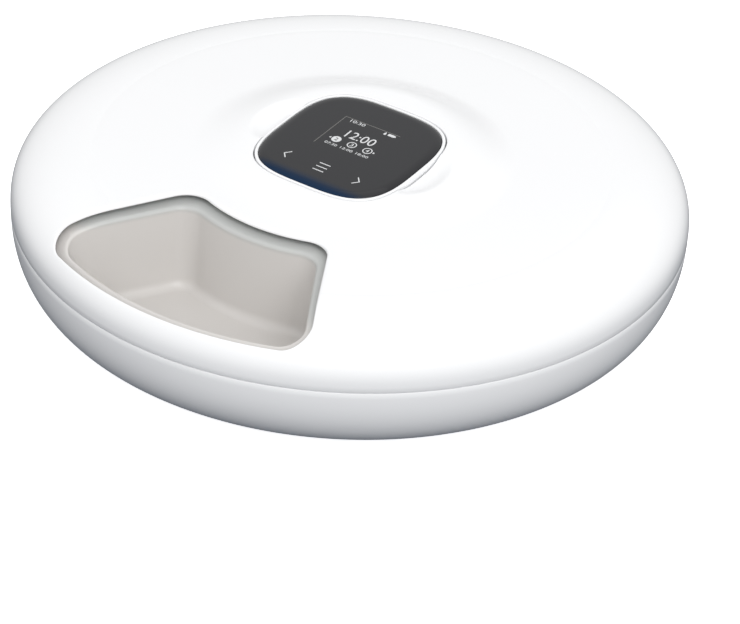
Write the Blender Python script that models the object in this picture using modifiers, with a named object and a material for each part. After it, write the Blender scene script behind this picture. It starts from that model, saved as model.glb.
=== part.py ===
"""Round six-meal feeder: a turning tray under a lift-off lid, with a plug-in control module.

Units are metres, +Z is up, -Y is the front, where the lid opens over one meal, and the origin is on
the floor under the middle of the body.
"""

import math

import bmesh
import bpy
from mathutils import Matrix, Vector

# Gaps between pieces, and how far every cutter runs past what it cuts.
SEAT_GAP = 0.0003
RUNNING_GAP = 0.0005
OVERRUN = 0.002
FUSE = 0.0004
AXIS_MERGE = 0.00001
CAP_MERGE = 0.000001
SMOOTH_ANGLE = math.radians(35)

# Both casings: two superellipse quadrants that meet at the widest line.
BODY_RADIUS = 0.165
WIDEST_HEIGHT = 0.04765
PARTING_DROP = 0.00315
BODY_SIDES = 64
CURVE_STEPS = 5

# Lid.
LID_TOP_HEIGHT = 0.0715
LID_SHOULDER_WIDTH = 0.0391
LID_CURVE_POWER = 2.29
LID_WALL = 0.0025
LIP_DEPTH = 0.004
LIP_WALL = 0.0016
SWELL_FOOT_RADIUS = 0.080
SWELL_TOP_RADIUS = 0.049
SWELL_STEPS = 3
MOUTH_HALF_ANGLE = math.radians(28.1)
MOUTH_SIDE_INSET = 0.0014
MOUTH_OUTER_DROP = 0.0102
MOUTH_INNER_CORNER = 0.0125
MOUTH_OUTER_CORNER = 0.0125

# Base casing.
BASE_SHOULDER_WIDTH = 0.0524
BASE_CURVE_POWER = 2.64
BASE_WALL = 0.0025
FOOT_STAND = 0.002
FOOT_RADIUS = 0.009
FOOT_EDGE_DISTANCE = 0.0086
FOOT_SEAT_DEPTH = 0.0009
FOOT_COUNT = 4

# Tray.
MEAL_COUNT = 6
LAND_DROP = 0.0015
DECK_WALL = 0.0022
HUB_GAP = 0.005
HUB_SKIRT_DEPTH = 0.0065
TRAY_RIM_SHARE = 1 / 3
HUB_LAND = 0.0175
BOWL_RIM_LAND = 0.0017
BOWL_HALF_LAND = 0.0055
BOWL_CORNER = 0.011
BOWL_WALL = 0.002
BOWL_INNER_TAPER = 0.0025
BOWL_SIDE_TAPER = 0.002
BOWL_OUTER_TAPER = 0.0143
BOWL_FLOOR_ROUND = 0.005
BOWL_EDGE_ROUND = 0.0018

# Turntable, its gear ring and the running track under its rim.
TURNTABLE_THICKNESS = 0.0024
TURNTABLE_OVERHANG = 0.003
TURNTABLE_SIDES = 48
TRACK_WIDTH = 0.0056
TRACK_DEPTH = 0.0027
GEAR_MODULE = 0.0015
RING_TEETH = 72
PINION_TEETH = 12
PRESSURE_ANGLE = math.radians(20)
TOOTH_BACKLASH = 0.0004
TIP_CLEARANCE = 0.0003
RING_ADDENDUM = 0.0009
PINION_ADDENDUM = 0.0012
GEAR_WIDTH = 0.006
GEAR_RIM_WALL = 0.0035
NECK_GEAR_GAP = 0.003
DRIVE_KEY_LENGTH = 0.018
DRIVE_KEY_HEIGHT = 0.007
DRIVE_KEY_EDGE_DISTANCE = 0.0176
MAGNET_RADIUS = 0.0025
MAGNET_THICKNESS = 0.0015
MAGNET_RING_GAP = 0.009

# Rollers under the track.
ROLLER_COUNT = 4
ROLLER_RADIUS = 0.0055
ROLLER_WIDTH = 0.005
AXLE_RADIUS = 0.001
CHEEK_WALL = 0.0016
CHEEK_WIDTH = 0.008

# Neck in the middle of the base, which holds the cells and carries the motor deck.
NECK_WALL = 0.002
NECK_SIDES = 36
BOSS_RADIUS = 0.004
BOSS_INSET = 0.0065
DECK_SCREW_ANGLES = tuple(math.radians(angle) for angle in (0, 52, 128, 180))
PINION_WINDOW_MARGIN = 0.0012

# Cells, their bay and its door.
CELL_RADIUS = 0.0071
CELL_LENGTH = 0.0495
CELL_COUNT = 4
CELL_GAP = 0.0004
CELL_BUTTON_RADIUS = 0.0027
CELL_BUTTON_HEIGHT = 0.0012
CELL_HEADROOM = 0.0033
CELL_CENTRE_Y = -0.0090
CONTACT_THICKNESS = 0.0005
BAY_WALL = 0.0014
BAY_WALL_HEIGHT = 0.012
DOOR_THICKNESS = 0.0018
DOOR_RECESS = 0.0004
DOOR_HINGE_OFFSET = 0.0042
DOOR_HINGE_HALF_WIDTH = 0.010
DOOR_SWING_GAP = 0.0027
BARREL_RADIUS = 0.0019
BARREL_RISE = 0.0004
HINGE_PIN_RADIUS = 0.0007
KNUCKLE_WIDTH = 0.0054

# Motor deck, gear motor, board and the cap that covers them.
DECK_THICKNESS = 0.002
TOWER_RADIUS = 0.062
TOWER_WALL = 0.002
TOWER_MODULE_GAP = 0.0083
TOWER_SIDES = 36
TOWER_EDGE_BEVEL = 0.003
MOTOR_RADIUS = 0.012
MOTOR_HEIGHT = 0.0185
MOTOR_EAR_SPAN = 0.040
MOTOR_EAR_WIDTH = 0.010
MOTOR_EAR_THICKNESS = 0.002
MOTOR_SCREW_RADIUS = 0.016
SHAFT_RADIUS = 0.002
SHAFT_ENGAGEMENT = 0.006
BOARD_LENGTH = 0.056
BOARD_WIDTH = 0.040
BOARD_THICKNESS = 0.0016
BOARD_CENTRE_Y = -0.018
BOARD_STANDOFF = 0.008
BOARD_POST_RADIUS = 0.002
CHIP_SIZE = 0.010
CHIP_HEIGHT = 0.002
DRIVER_LENGTH = 0.008
DRIVER_EDGE_DISTANCE = 0.004
DRIVER_WIDTH = 0.008
DRIVER_HEIGHT = 0.004
CAP_POST_RADIUS = 0.0034
CAP_POST_INSET = 0.0095
CAP_SCREW_ANGLES = tuple(math.radians(angle) for angle in (30, 150, 270))

# Screws.
SCREW_RADIUS = 0.0012
SCREW_HOLE_MARGIN = 0.0003
SCREW_HEAD_RADIUS = 0.0028
SCREW_HEAD_HEIGHT = 0.0016
SCREW_LENGTH = 0.009
MOTOR_SCREW_LENGTH = 0.0040
SCREW_SIDES = 12

# Contact studs on the tower and pads under the module.
STUD_COUNT = 4
STUD_PITCH = 0.006
STUD_RADIUS = 0.0009
STUD_CLEARANCE = 0.0005
CONTACT_BLOCK_LENGTH = 0.028
CONTACT_BLOCK_WIDTH = 0.008
CONTACT_BLOCK_HEIGHT = 0.0034

# Control module, in its own frame: x right, y towards the back, z out of the glass.
PANEL_RISE = 0.0051
PANEL_SHIFT_Y = -0.0024
PANEL_TILT = math.radians(3.93)
PANEL_POWER = 3.4
PANEL_SIDES = 40
GLASS_HALF_X = 0.03826
GLASS_HALF_Y = 0.0392
GLASS_THICKNESS = 0.0022
GLASS_CROWN = 0.0009
GLASS_EDGE_ROUND = 0.0035
BEZEL_WIDTH = 0.0014
BEZEL_RISE = 0.0002
MODULE_GAP = 0.0006
MODULE_DEPTH = 0.0183
MODULE_WALL = 0.0016
WELL_WALL = 0.0018
WELL_FLOOR = 0.0018
DISPLAY_LENGTH = 0.035
DISPLAY_WIDTH = 0.031
DISPLAY_THICKNESS = 0.0016
DISPLAY_SHIFT_Y = 0.006
TOUCH_BOARD_INSET = 0.0012
TOUCH_BOARD_THICKNESS = 0.0014
PAD_BOARD_LENGTH = 0.028
PAD_BOARD_WIDTH = 0.011
PAD_BOARD_THICKNESS = 0.0012
WINDOW_MARGIN = 0.003
SCOOP_REACH = 0.017
SCOOP_HALF_LENGTH = 0.024
SCOOP_DEPTH = 0.0058

# Power inlet at the back, switch under the base and tray position sensor.
INLET_HEIGHT = 0.0245
INLET_BORE_RADIUS = 0.0042
INLET_BODY_WIDTH = 0.013
INLET_BODY_HEIGHT = 0.011
INLET_BODY_LENGTH = 0.009
INLET_SETBACK = 0.0068
INLET_CRADLE_DEPTH = 0.0065
SWITCH_NECK_GAP = 0.0279
SWITCH_TRAVEL = 0.004
SWITCH_KNOB_LENGTH = 0.005
SWITCH_KNOB_WIDTH = 0.0044
SWITCH_STEM_WIDTH = 0.002
SWITCH_STEM_REACH = 0.0012
SWITCH_BODY_LENGTH = 0.016
SWITCH_BODY_WIDTH = 0.009
SWITCH_BODY_HEIGHT = 0.004
SENSOR_WIDTH = 0.008
SENSOR_THICKNESS = 0.0016
SENSOR_GAP = 0.0009

# Heights and radii that follow from the values above.
PARTING_HEIGHT = WIDEST_HEIGHT - PARTING_DROP
FLOOR_HEIGHT = FOOT_STAND + BASE_WALL
BASE_FLAT_RADIUS = BODY_RADIUS - BASE_SHOULDER_WIDTH
FOOT_RING_RADIUS = BASE_FLAT_RADIUS - FOOT_EDGE_DISTANCE
LID_FLAT_RADIUS = BODY_RADIUS - LID_SHOULDER_WIDTH
PANEL_HEIGHT = LID_TOP_HEIGHT + PANEL_RISE
TOWER_TOP_HEIGHT = PANEL_HEIGHT - MODULE_DEPTH - TOWER_MODULE_GAP
HUB_RADIUS = TOWER_RADIUS + HUB_GAP
BOWL_INNER_RADIUS = HUB_RADIUS + HUB_LAND
LAND_HEIGHT = LID_TOP_HEIGHT - LID_WALL - LAND_DROP
CELL_HEIGHT = FLOOR_HEIGHT + SEAT_GAP + CELL_RADIUS
DECK_UNDERSIDE = CELL_HEIGHT + CELL_RADIUS + CELL_HEADROOM
DECK_TOP = DECK_UNDERSIDE + DECK_THICKNESS
NECK_TOP = DECK_UNDERSIDE - SEAT_GAP
TURNTABLE_TOP = NECK_TOP - SEAT_GAP
TRAY_UNDERSIDE = TURNTABLE_TOP + SEAT_GAP
BOWL_FLOOR_HEIGHT = TRAY_UNDERSIDE + BOWL_WALL
TURNTABLE_UNDERSIDE = TURNTABLE_TOP - TURNTABLE_THICKNESS
TRACK_UNDERSIDE = TURNTABLE_UNDERSIDE - TRACK_DEPTH
GEAR_TOP = TURNTABLE_UNDERSIDE - RUNNING_GAP
GEAR_BOTTOM = GEAR_TOP - GEAR_WIDTH
RING_PITCH_RADIUS = RING_TEETH * GEAR_MODULE / 2
PINION_PITCH_RADIUS = PINION_TEETH * GEAR_MODULE / 2
SHAFT_Y = RING_PITCH_RADIUS - PINION_PITCH_RADIUS
RING_TIP_RADIUS = RING_PITCH_RADIUS - RING_ADDENDUM
RING_ROOT_RADIUS = RING_PITCH_RADIUS + PINION_ADDENDUM + TIP_CLEARANCE
PINION_TIP_RADIUS = PINION_PITCH_RADIUS + PINION_ADDENDUM
PINION_ROOT_RADIUS = PINION_PITCH_RADIUS - RING_ADDENDUM - TIP_CLEARANCE
NECK_RADIUS = RING_TIP_RADIUS - NECK_GEAR_GAP
NECK_INNER_RADIUS = NECK_RADIUS - NECK_WALL
SWITCH_Y = NECK_RADIUS + SWITCH_NECK_GAP
MAGNET_RING_RADIUS = RING_ROOT_RADIUS + GEAR_RIM_WALL + MAGNET_RING_GAP
CELL_PITCH = CELL_RADIUS * 2 + CELL_GAP
DOOR_BOTTOM = FOOT_STAND + DOOR_RECESS
HINGE_HEIGHT = DOOR_BOTTOM + DOOR_THICKNESS + BARREL_RISE
BAY_HALF_X = CELL_PITCH * CELL_COUNT / 2 + SEAT_GAP
BAY_FRONT_Y = CELL_CENTRE_Y - CELL_LENGTH / 2 - CONTACT_THICKNESS - SEAT_GAP * 2
BAY_BACK_Y = CELL_CENTRE_Y + CELL_LENGTH / 2 + CONTACT_THICKNESS + CELL_BUTTON_HEIGHT + SEAT_GAP * 3
HINGE_Y = BAY_FRONT_Y - DOOR_HINGE_OFFSET
SCREW_HOLE_RADIUS = SCREW_RADIUS + SCREW_HOLE_MARGIN
WELL_HALF_X = GLASS_HALF_X + SEAT_GAP + BEZEL_WIDTH + MODULE_GAP
WELL_HALF_Y = GLASS_HALF_Y + SEAT_GAP + BEZEL_WIDTH + MODULE_GAP
PANEL_FRAME = Matrix.Translation((0, PANEL_SHIFT_Y, PANEL_HEIGHT)) @ Matrix.Rotation(PANEL_TILT, 4, "X")
ROLLER_ANGLES = tuple(math.tau * (i + 0.5) / ROLLER_COUNT for i in range(ROLLER_COUNT))
FOOT_ANGLES = tuple(math.tau * (i + 0.5) / FOOT_COUNT for i in range(FOOT_COUNT))


def clear_scene():
    for item in list(bpy.data.objects):
        bpy.data.objects.remove(item)


def new_collection(name):
    collection = bpy.data.collections.new(name)
    bpy.context.scene.collection.children.link(collection)
    return collection


def material(name, colour, roughness, metallic=0):
    made = bpy.data.materials.new(name)
    made.use_nodes = True
    shader = made.node_tree.nodes["Principled BSDF"]
    shader.inputs["Base Color"].default_value = (*colour, 1)
    shader.inputs["Roughness"].default_value = roughness
    shader.inputs["Metallic"].default_value = metallic
    return made


clear_scene()
PARTS = new_collection("six_meal_feeder")
CUTTERS = new_collection("cutters")
WHITE_GLOSS = material("white_gloss", (0.86, 0.86, 0.87), 0.25)
BOWL_GREY = material("bowl_grey", (0.55, 0.54, 0.52), 0.30)
DARK_GLASS = material("dark_glass", (0.02, 0.02, 0.025), 0.12)
SCREEN = material("screen", (0.03, 0.032, 0.03), 0.30)
INNER_GREY = material("inner_grey", (0.35, 0.36, 0.37), 0.55)
GEAR_WHITE = material("gear_white", (0.75, 0.74, 0.70), 0.45)
RUBBER = material("rubber", (0.05, 0.05, 0.055), 0.85)
STEEL = material("steel", (0.60, 0.60, 0.62), 0.35, 1)
BRASS = material("brass", (0.75, 0.58, 0.30), 0.30, 1)
BOARD_GREEN = material("board_green", (0.03, 0.20, 0.10), 0.50)
CELL_GREY = material("cell_grey", (0.30, 0.31, 0.33), 0.40, 0.4)


# Objects and meshes


def add(name, mesh, finish, place=Matrix()):
    """A new object for this mesh. With no finish it is a cutter or a helper, shown as wire and not built."""
    made = bpy.data.objects.new(name, mesh)
    made.matrix_world = place
    (PARTS if finish else CUTTERS).objects.link(made)
    if finish:
        mesh.materials.clear()
        mesh.materials.append(finish)
    else:
        made.hide_render = True
        made.display_type = "WIRE"
    return made


def mesh_from(maker):
    """A mesh that maker fills through bmesh, with its faces pointing outwards."""
    mesh = bpy.data.meshes.new("mesh")
    work = bmesh.new()
    maker(work)
    bmesh.ops.recalc_face_normals(work, faces=work.faces)
    work.to_mesh(mesh)
    work.free()
    return mesh


def box(name, low, high, finish=None, place=Matrix()):
    """A box from its lowest to its highest corner, in the frame that place gives."""
    low = Vector(low)
    high = Vector(high)
    size = high - low
    shape = Matrix.Translation((low + high) / 2) @ Matrix.Diagonal((*size, 1))
    mesh = mesh_from(lambda work: bmesh.ops.create_cube(work, size=1, matrix=shape))
    return add(name, mesh, finish, place)


def rod(name, radius, low, high, sides, finish=None, place=Matrix(), tip_radius=None):
    """A round bar along Z from height low to height high, in the frame that place gives."""
    centre = Matrix.Translation((0, 0, (low + high) / 2))

    def maker(work):
        bmesh.ops.create_cone(
            work,
            cap_ends=True,
            segments=sides,
            radius1=radius,
            radius2=radius if tip_radius is None else tip_radius,
            depth=high - low,
            matrix=centre,
        )

    return add(name, mesh_from(maker), finish, place)


def baked(item):
    """Replaces an object's mesh by its evaluated mesh, and drops the modifiers that made it."""
    graph = bpy.context.evaluated_depsgraph_get()
    mesh = bpy.data.meshes.new_from_object(item.evaluated_get(graph))
    item.modifiers.clear()
    item.data = mesh
    return item


def turned(name, profile, sides, finish=None, closed=False, place=Matrix()):
    """A profile of (radius, height) points turned about Z. It runs down its outer side."""

    def maker(work):
        points = [work.verts.new((radius, 0, height)) for radius, height in profile]
        ends = list(zip(points, points[1:]))
        if closed:
            ends.append((points[-1], points[0]))
        for start, end in ends:
            work.edges.new((start, end))

    made = add(name, mesh_from(maker), finish, place)
    screw = made.modifiers.new("turn", "SCREW")
    screw.axis = "Z"
    screw.steps = sides
    screw.render_steps = sides
    screw.use_merge_vertices = True
    screw.merge_threshold = AXIS_MERGE
    return baked(made)


def prism(name, outlines, low, high, finish=None, place=Matrix()):
    """A flat outline, with any holes as further outlines, given thickness from low to high."""
    curve = bpy.data.curves.new("outline", "CURVE")
    curve.dimensions = "2D"
    curve.fill_mode = "BOTH"
    curve.extrude = (high - low) / 2
    for outline in outlines:
        spline = curve.splines.new("POLY")
        spline.points.add(len(outline) - 1)
        spline.use_cyclic_u = True
        for point, (x, y) in zip(spline.points, outline):
            point.co = (x, y, 0, 1)
    guide = bpy.data.objects.new("guide", curve)
    CUTTERS.objects.link(guide)
    graph = bpy.context.evaluated_depsgraph_get()
    mesh = bpy.data.meshes.new_from_object(guide.evaluated_get(graph))
    bpy.data.objects.remove(guide)
    work = bmesh.new()
    work.from_mesh(mesh)
    bmesh.ops.remove_doubles(work, verts=work.verts, dist=CAP_MERGE)
    bmesh.ops.recalc_face_normals(work, faces=work.faces)
    work.transform(Matrix.Translation((0, 0, (low + high) / 2)))
    work.to_mesh(mesh)
    work.free()
    return add(name, mesh, finish, place)


def loft(name, sections, finish=None, place=Matrix()):
    """A closed body through level outlines of equal point counts, from the lowest to the highest."""

    def maker(work):
        rings = [[work.verts.new(point) for point in section] for section in sections]
        for lower, upper in zip(rings, rings[1:]):
            for i in range(len(lower)):
                work.faces.new((lower[i - 1], lower[i], upper[i], upper[i - 1]))
        work.faces.new(rings[0])
        work.faces.new(rings[-1])

    return add(name, mesh_from(maker), finish, place)


def boolean(target, other, operation):
    step = target.modifiers.new(operation.lower(), "BOOLEAN")
    step.operation = operation
    step.solver = "EXACT"
    step.object = other


def fuse(target, *others):
    for other in others:
        boolean(target, other, "UNION")
    return target


def cut(target, *others):
    for other in others:
        boolean(target, other, "DIFFERENCE")
    return target


def about_z(angle):
    return Matrix.Rotation(angle, 4, "Z")


def at(x, y):
    return Matrix.Translation((x, y, 0))


def polar(radius, angle):
    return at(radius * math.cos(angle), radius * math.sin(angle))


# Outlines


def upper_curve(steps=CURVE_STEPS):
    """The lid's outer side from the edge of its flat top down to the widest line."""
    points = []
    for step in range(steps + 1):
        angle = math.pi / 2 * (1 - step / steps)
        out = math.cos(angle) ** (2 / LID_CURVE_POWER) if step else 0
        up = math.sin(angle) ** (2 / LID_CURVE_POWER) if step < steps else 0
        height = WIDEST_HEIGHT + (LID_TOP_HEIGHT - WIDEST_HEIGHT) * up
        points.append((LID_FLAT_RADIUS + LID_SHOULDER_WIDTH * out, height))
    return points


def base_radius(height):
    fall = (WIDEST_HEIGHT - height) / WIDEST_HEIGHT
    width = (1 - fall**BASE_CURVE_POWER) ** (1 / BASE_CURVE_POWER)
    return BASE_FLAT_RADIUS + (BODY_RADIUS - BASE_FLAT_RADIUS) * width


def lower_curve(top, bottom, steps=CURVE_STEPS):
    """The base's outer side from height top down to height bottom."""
    falls = [(WIDEST_HEIGHT - height) / WIDEST_HEIGHT for height in (top, bottom)]
    first, last = (math.asin(fall ** (BASE_CURVE_POWER / 2)) for fall in falls)
    points = []
    for step in range(steps + 1):
        angle = first + (last - first) * step / steps
        height = WIDEST_HEIGHT * (1 - math.sin(angle) ** (2 / BASE_CURVE_POWER))
        points.append((base_radius(height), height))
    return points


def inset(points, distance):
    """The same line moved towards the inside, which is on its right as it runs down its outer side."""
    moved = []
    for i, point in enumerate(points):
        before = Vector(points[max(i - 1, 0)])
        after = Vector(points[min(i + 1, len(points) - 1)])
        here = Vector(point)
        ways = [way.normalized() for way in (here - before, after - here) if way.length > 0]
        normal = sum((Vector((-way.y, way.x)) for way in ways), Vector((0, 0))).normalized()
        miter = normal.dot(Vector((-ways[0].y, ways[0].x)))
        moved.append(tuple(here - normal * distance / miter))
    return moved


def squircle(half_x, half_y, count=PANEL_SIDES):
    points = []
    for i in range(count):
        angle = math.tau * i / count
        x, y = math.cos(angle), math.sin(angle)
        points.append(
            (
                half_x * math.copysign(abs(x) ** (2 / PANEL_POWER), x),
                half_y * math.copysign(abs(y) ** (2 / PANEL_POWER), y),
            )
        )
    return points


def arc(centre, radius, start, end, steps):
    """Points on an arc, both ends included."""
    angles = [start + (end - start) * i / steps for i in range(steps + 1)]
    return [(centre[0] + radius * math.cos(a), centre[1] + radius * math.sin(a)) for a in angles]


def sector(inner, outer, half_angle, side_inset, inner_corner, outer_corner, corner_steps=4, arc_steps=6):
    """A ring sector about +X whose sides are moved in and whose four corners are round."""
    corners = []
    for radius, corner in ((outer - outer_corner, outer_corner), (inner + inner_corner, inner_corner)):
        angle = half_angle - math.asin((corner + side_inset) / radius)
        corners.append((angle, (radius * math.cos(angle), radius * math.sin(angle))))
    (outer_angle, outer_centre), (inner_angle, inner_centre) = corners
    square = half_angle + math.pi / 2
    upper = arc(outer_centre, outer_corner, outer_angle, square, corner_steps)
    upper += arc(inner_centre, inner_corner, square, inner_angle + math.pi, corner_steps)
    lower = [(x, -y) for x, y in reversed(upper)]
    outer_side = arc((0, 0), outer, -outer_angle, outer_angle, arc_steps)[1:-1]
    inner_side = arc((0, 0), inner, inner_angle, -inner_angle, arc_steps)[1:-1]
    return outer_side + upper + inner_side + lower


def involute(angle):
    return math.tan(angle) - angle


def tooth_half_angle(radius, pitch_radius, width):
    """Half the angle that a tooth of this width at the pitch circle spans at another radius."""
    base = pitch_radius * math.cos(PRESSURE_ANGLE)
    slope = math.acos(min(base / radius, 1))
    return width / 2 / pitch_radius + involute(PRESSURE_ANGLE) - involute(slope)


def gear_outline(teeth, pitch_radius, radii, width, first_angle):
    """Teeth whose flanks pass through the radii given, from root to tip or, for a ring, from tip to root."""
    points = []
    for tooth in range(teeth):
        middle = first_angle + math.tau * tooth / teeth
        rising = [(r, middle - tooth_half_angle(r, pitch_radius, width)) for r in radii]
        falling = [(r, 2 * middle - angle) for r, angle in reversed(rising)]
        points += [(r * math.cos(a), r * math.sin(a)) for r, a in rising + falling]
    return points


# Casings


def rim_height(y):
    """Height of the lid round the control module, which leans with the glass."""
    return PANEL_HEIGHT + BEZEL_RISE + (y - PANEL_SHIFT_Y) * math.tan(PANEL_TILT)


def swell(x, y):
    """How far the lid rises above its flat top at this place."""
    reach = (SWELL_FOOT_RADIUS - math.hypot(x, y)) / (SWELL_FOOT_RADIUS - SWELL_TOP_RADIUS)
    reach = min(max(reach, 0), 1)
    blend = reach * reach * (3 - 2 * reach)
    return blend * (rim_height(y) - LID_TOP_HEIGHT)


def lid_profile():
    outer = [(LID_FLAT_RADIUS / 2 + SWELL_FOOT_RADIUS / 2, LID_TOP_HEIGHT)] + upper_curve()
    outer.append((base_radius(PARTING_HEIGHT + SEAT_GAP), PARTING_HEIGHT + SEAT_GAP))
    inner = inset(outer, LID_WALL)[:-1]
    lip_outer = BODY_RADIUS - BASE_WALL - RUNNING_GAP
    lip_bottom = PARTING_HEIGHT - LIP_DEPTH
    swell_rings = [
        SWELL_TOP_RADIUS + (SWELL_FOOT_RADIUS - SWELL_TOP_RADIUS) * i / SWELL_STEPS
        for i in range(SWELL_STEPS + 1)
    ]
    profile = [(0, LID_TOP_HEIGHT)] + [(radius, LID_TOP_HEIGHT) for radius in swell_rings] + outer[1:]
    profile += [
        (lip_outer, PARTING_HEIGHT + SEAT_GAP),
        (lip_outer, lip_bottom),
        (lip_outer - LIP_WALL, lip_bottom),
    ]
    profile += [point for point in reversed(inner[1:-1])]
    profile.append((0, LID_TOP_HEIGHT - LID_WALL))
    return profile


def mouth_outer_radius():
    """Radius where the lid's shoulder reaches the height of the mouth's outer edge."""
    up = (LID_TOP_HEIGHT - MOUTH_OUTER_DROP - WIDEST_HEIGHT) / (LID_TOP_HEIGHT - WIDEST_HEIGHT)
    return LID_FLAT_RADIUS + LID_SHOULDER_WIDTH * (1 - up**LID_CURVE_POWER) ** (1 / LID_CURVE_POWER)


def lid_shell():
    lid = turned("lid_shell", lid_profile(), BODY_SIDES, WHITE_GLOSS)
    for vertex in lid.data.vertices:
        if vertex.co.z > LID_TOP_HEIGHT - FUSE:
            vertex.co.z += swell(vertex.co.x, vertex.co.y)
    well_floor = -MODULE_DEPTH - SEAT_GAP
    wall = squircle(WELL_HALF_X + WELL_WALL, WELL_HALF_Y + WELL_WALL)
    well = prism("well_wall", [wall], well_floor - WELL_FLOOR, -LID_WALL * 2, place=PANEL_FRAME)
    pocket_outline = squircle(WELL_HALF_X, WELL_HALF_Y)
    pocket = prism("well_pocket", [pocket_outline], well_floor, OVERRUN * 2, place=PANEL_FRAME)
    half_window = Vector((PAD_BOARD_LENGTH / 2 + WINDOW_MARGIN, PAD_BOARD_WIDTH / 2 + WINDOW_MARGIN))
    window = box(
        "contact_window",
        (-half_window.x, -half_window.y, well_floor - WELL_FLOOR - OVERRUN),
        (half_window.x, half_window.y, well_floor + OVERRUN),
        place=PANEL_FRAME,
    )
    radii = (BOWL_INNER_RADIUS - RUNNING_GAP, mouth_outer_radius())
    corners = (MOUTH_INNER_CORNER, MOUTH_OUTER_CORNER)
    mouth = sector(*radii, MOUTH_HALF_ANGLE, MOUTH_SIDE_INSET, *corners)
    heights = (PARTING_HEIGHT + LIP_DEPTH, LID_TOP_HEIGHT + OVERRUN)
    opening = prism("mouth", [mouth], *heights, place=about_z(-math.pi / 2))
    fuse(lid, well)
    cut(lid, pocket, window, opening)
    for side, name in ((-1, "left_scoop"), (1, "right_scoop")):
        cut(lid, scoop(name, side))
    return lid


def scoop(name, side):
    """A hollow beside the module for a fingertip, cut as part of an ellipsoid."""
    place = PANEL_FRAME @ Matrix.Translation((side * WELL_HALF_X, 0, BEZEL_RISE))
    reach = Matrix.Diagonal((SCOOP_REACH, SCOOP_HALF_LENGTH, SCOOP_DEPTH, 1))

    def maker(work):
        bmesh.ops.create_uvsphere(work, u_segments=16, v_segments=10, radius=1, matrix=reach)

    return add(name, mesh_from(maker), None, place)


def base_profile():
    outer = lower_curve(PARTING_HEIGHT, FOOT_STAND)
    inner = inset(lower_curve(WIDEST_HEIGHT, FOOT_STAND), BASE_WALL)
    ceiling = PARTING_HEIGHT - LIP_DEPTH
    inner = [(radius, height) for radius, height in inner if FLOOR_HEIGHT < height < ceiling]
    wall_top = (BODY_RADIUS - BASE_WALL, PARTING_HEIGHT)
    wall_step = (BODY_RADIUS - BASE_WALL, PARTING_HEIGHT - LIP_DEPTH - RUNNING_GAP)
    corner = (inset(lower_curve(WIDEST_HEIGHT, FOOT_STAND), BASE_WALL)[-1][0], FLOOR_HEIGHT)
    return [(0, FLOOR_HEIGHT), corner, *reversed(inner), wall_step, wall_top, *outer, (0, FOOT_STAND)]


def base_shell():
    base = turned("base_shell", base_profile(), BODY_SIDES, WHITE_GLOSS)
    neck = [
        (NECK_INNER_RADIUS, NECK_TOP),
        (NECK_RADIUS, NECK_TOP),
        (NECK_RADIUS, FLOOR_HEIGHT - FUSE),
        (NECK_INNER_RADIUS, FLOOR_HEIGHT - FUSE),
    ]
    fuse(base, turned("neck", neck, NECK_SIDES, closed=True))
    for i, angle in enumerate(DECK_SCREW_ANGLES):
        place = polar(NECK_RADIUS - NECK_WALL - BOSS_INSET, angle)
        fuse(base, rod(f"boss_{i}", BOSS_RADIUS, FLOOR_HEIGHT - FUSE, NECK_TOP, SCREW_SIDES, place=place))
        hole = (NECK_TOP - SCREW_LENGTH, NECK_TOP + OVERRUN)
        cut(base, rod(f"boss_hole_{i}", SCREW_HOLE_RADIUS, *hole, SCREW_SIDES, place=place))
    add_bay(base)
    add_roller_mounts(base)
    half_window = PINION_TIP_RADIUS + PINION_WINDOW_MARGIN
    cut(
        base,
        box(
            "pinion_window",
            (-half_window, SHAFT_Y - PINION_TIP_RADIUS / 2, GEAR_BOTTOM - RUNNING_GAP),
            (half_window, NECK_RADIUS + OVERRUN, GEAR_TOP + RUNNING_GAP),
        ),
    )
    for i, angle in enumerate(FOOT_ANGLES):
        place = polar(FOOT_RING_RADIUS, angle)
        seat = (FOOT_STAND - OVERRUN, FOOT_STAND + FOOT_SEAT_DEPTH)
        cut(base, rod(f"foot_seat_{i}", FOOT_RADIUS + SEAT_GAP, *seat, 20, place=place))
    slot_half = (SWITCH_TRAVEL + SWITCH_KNOB_LENGTH) / 2 + SEAT_GAP
    knob_half = SWITCH_KNOB_WIDTH / 2 + SEAT_GAP
    cut(
        base,
        box(
            "switch_slot",
            (-slot_half, SWITCH_Y - knob_half, FOOT_STAND - OVERRUN),
            (slot_half, SWITCH_Y + knob_half, FLOOR_HEIGHT + OVERRUN),
        ),
    )
    outside = base_radius(INLET_HEIGHT)
    back = Matrix.Translation((0, outside, INLET_HEIGHT)) @ Matrix.Rotation(-math.pi / 2, 4, "X")
    cradle_top = INLET_HEIGHT - INLET_BODY_HEIGHT / 2 - SEAT_GAP
    cradle = box(
        "inlet_cradle",
        (-INLET_BODY_WIDTH / 2, outside - INLET_SETBACK - INLET_BODY_LENGTH, cradle_top - INLET_CRADLE_DEPTH),
        (INLET_BODY_WIDTH / 2, outside - INLET_SETBACK - BASE_WALL, cradle_top),
    )
    fuse(base, cradle)
    cut(base, rod("inlet_hole", INLET_BORE_RADIUS, -INLET_SETBACK, OVERRUN * 2, 20, place=back))
    return base


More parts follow.
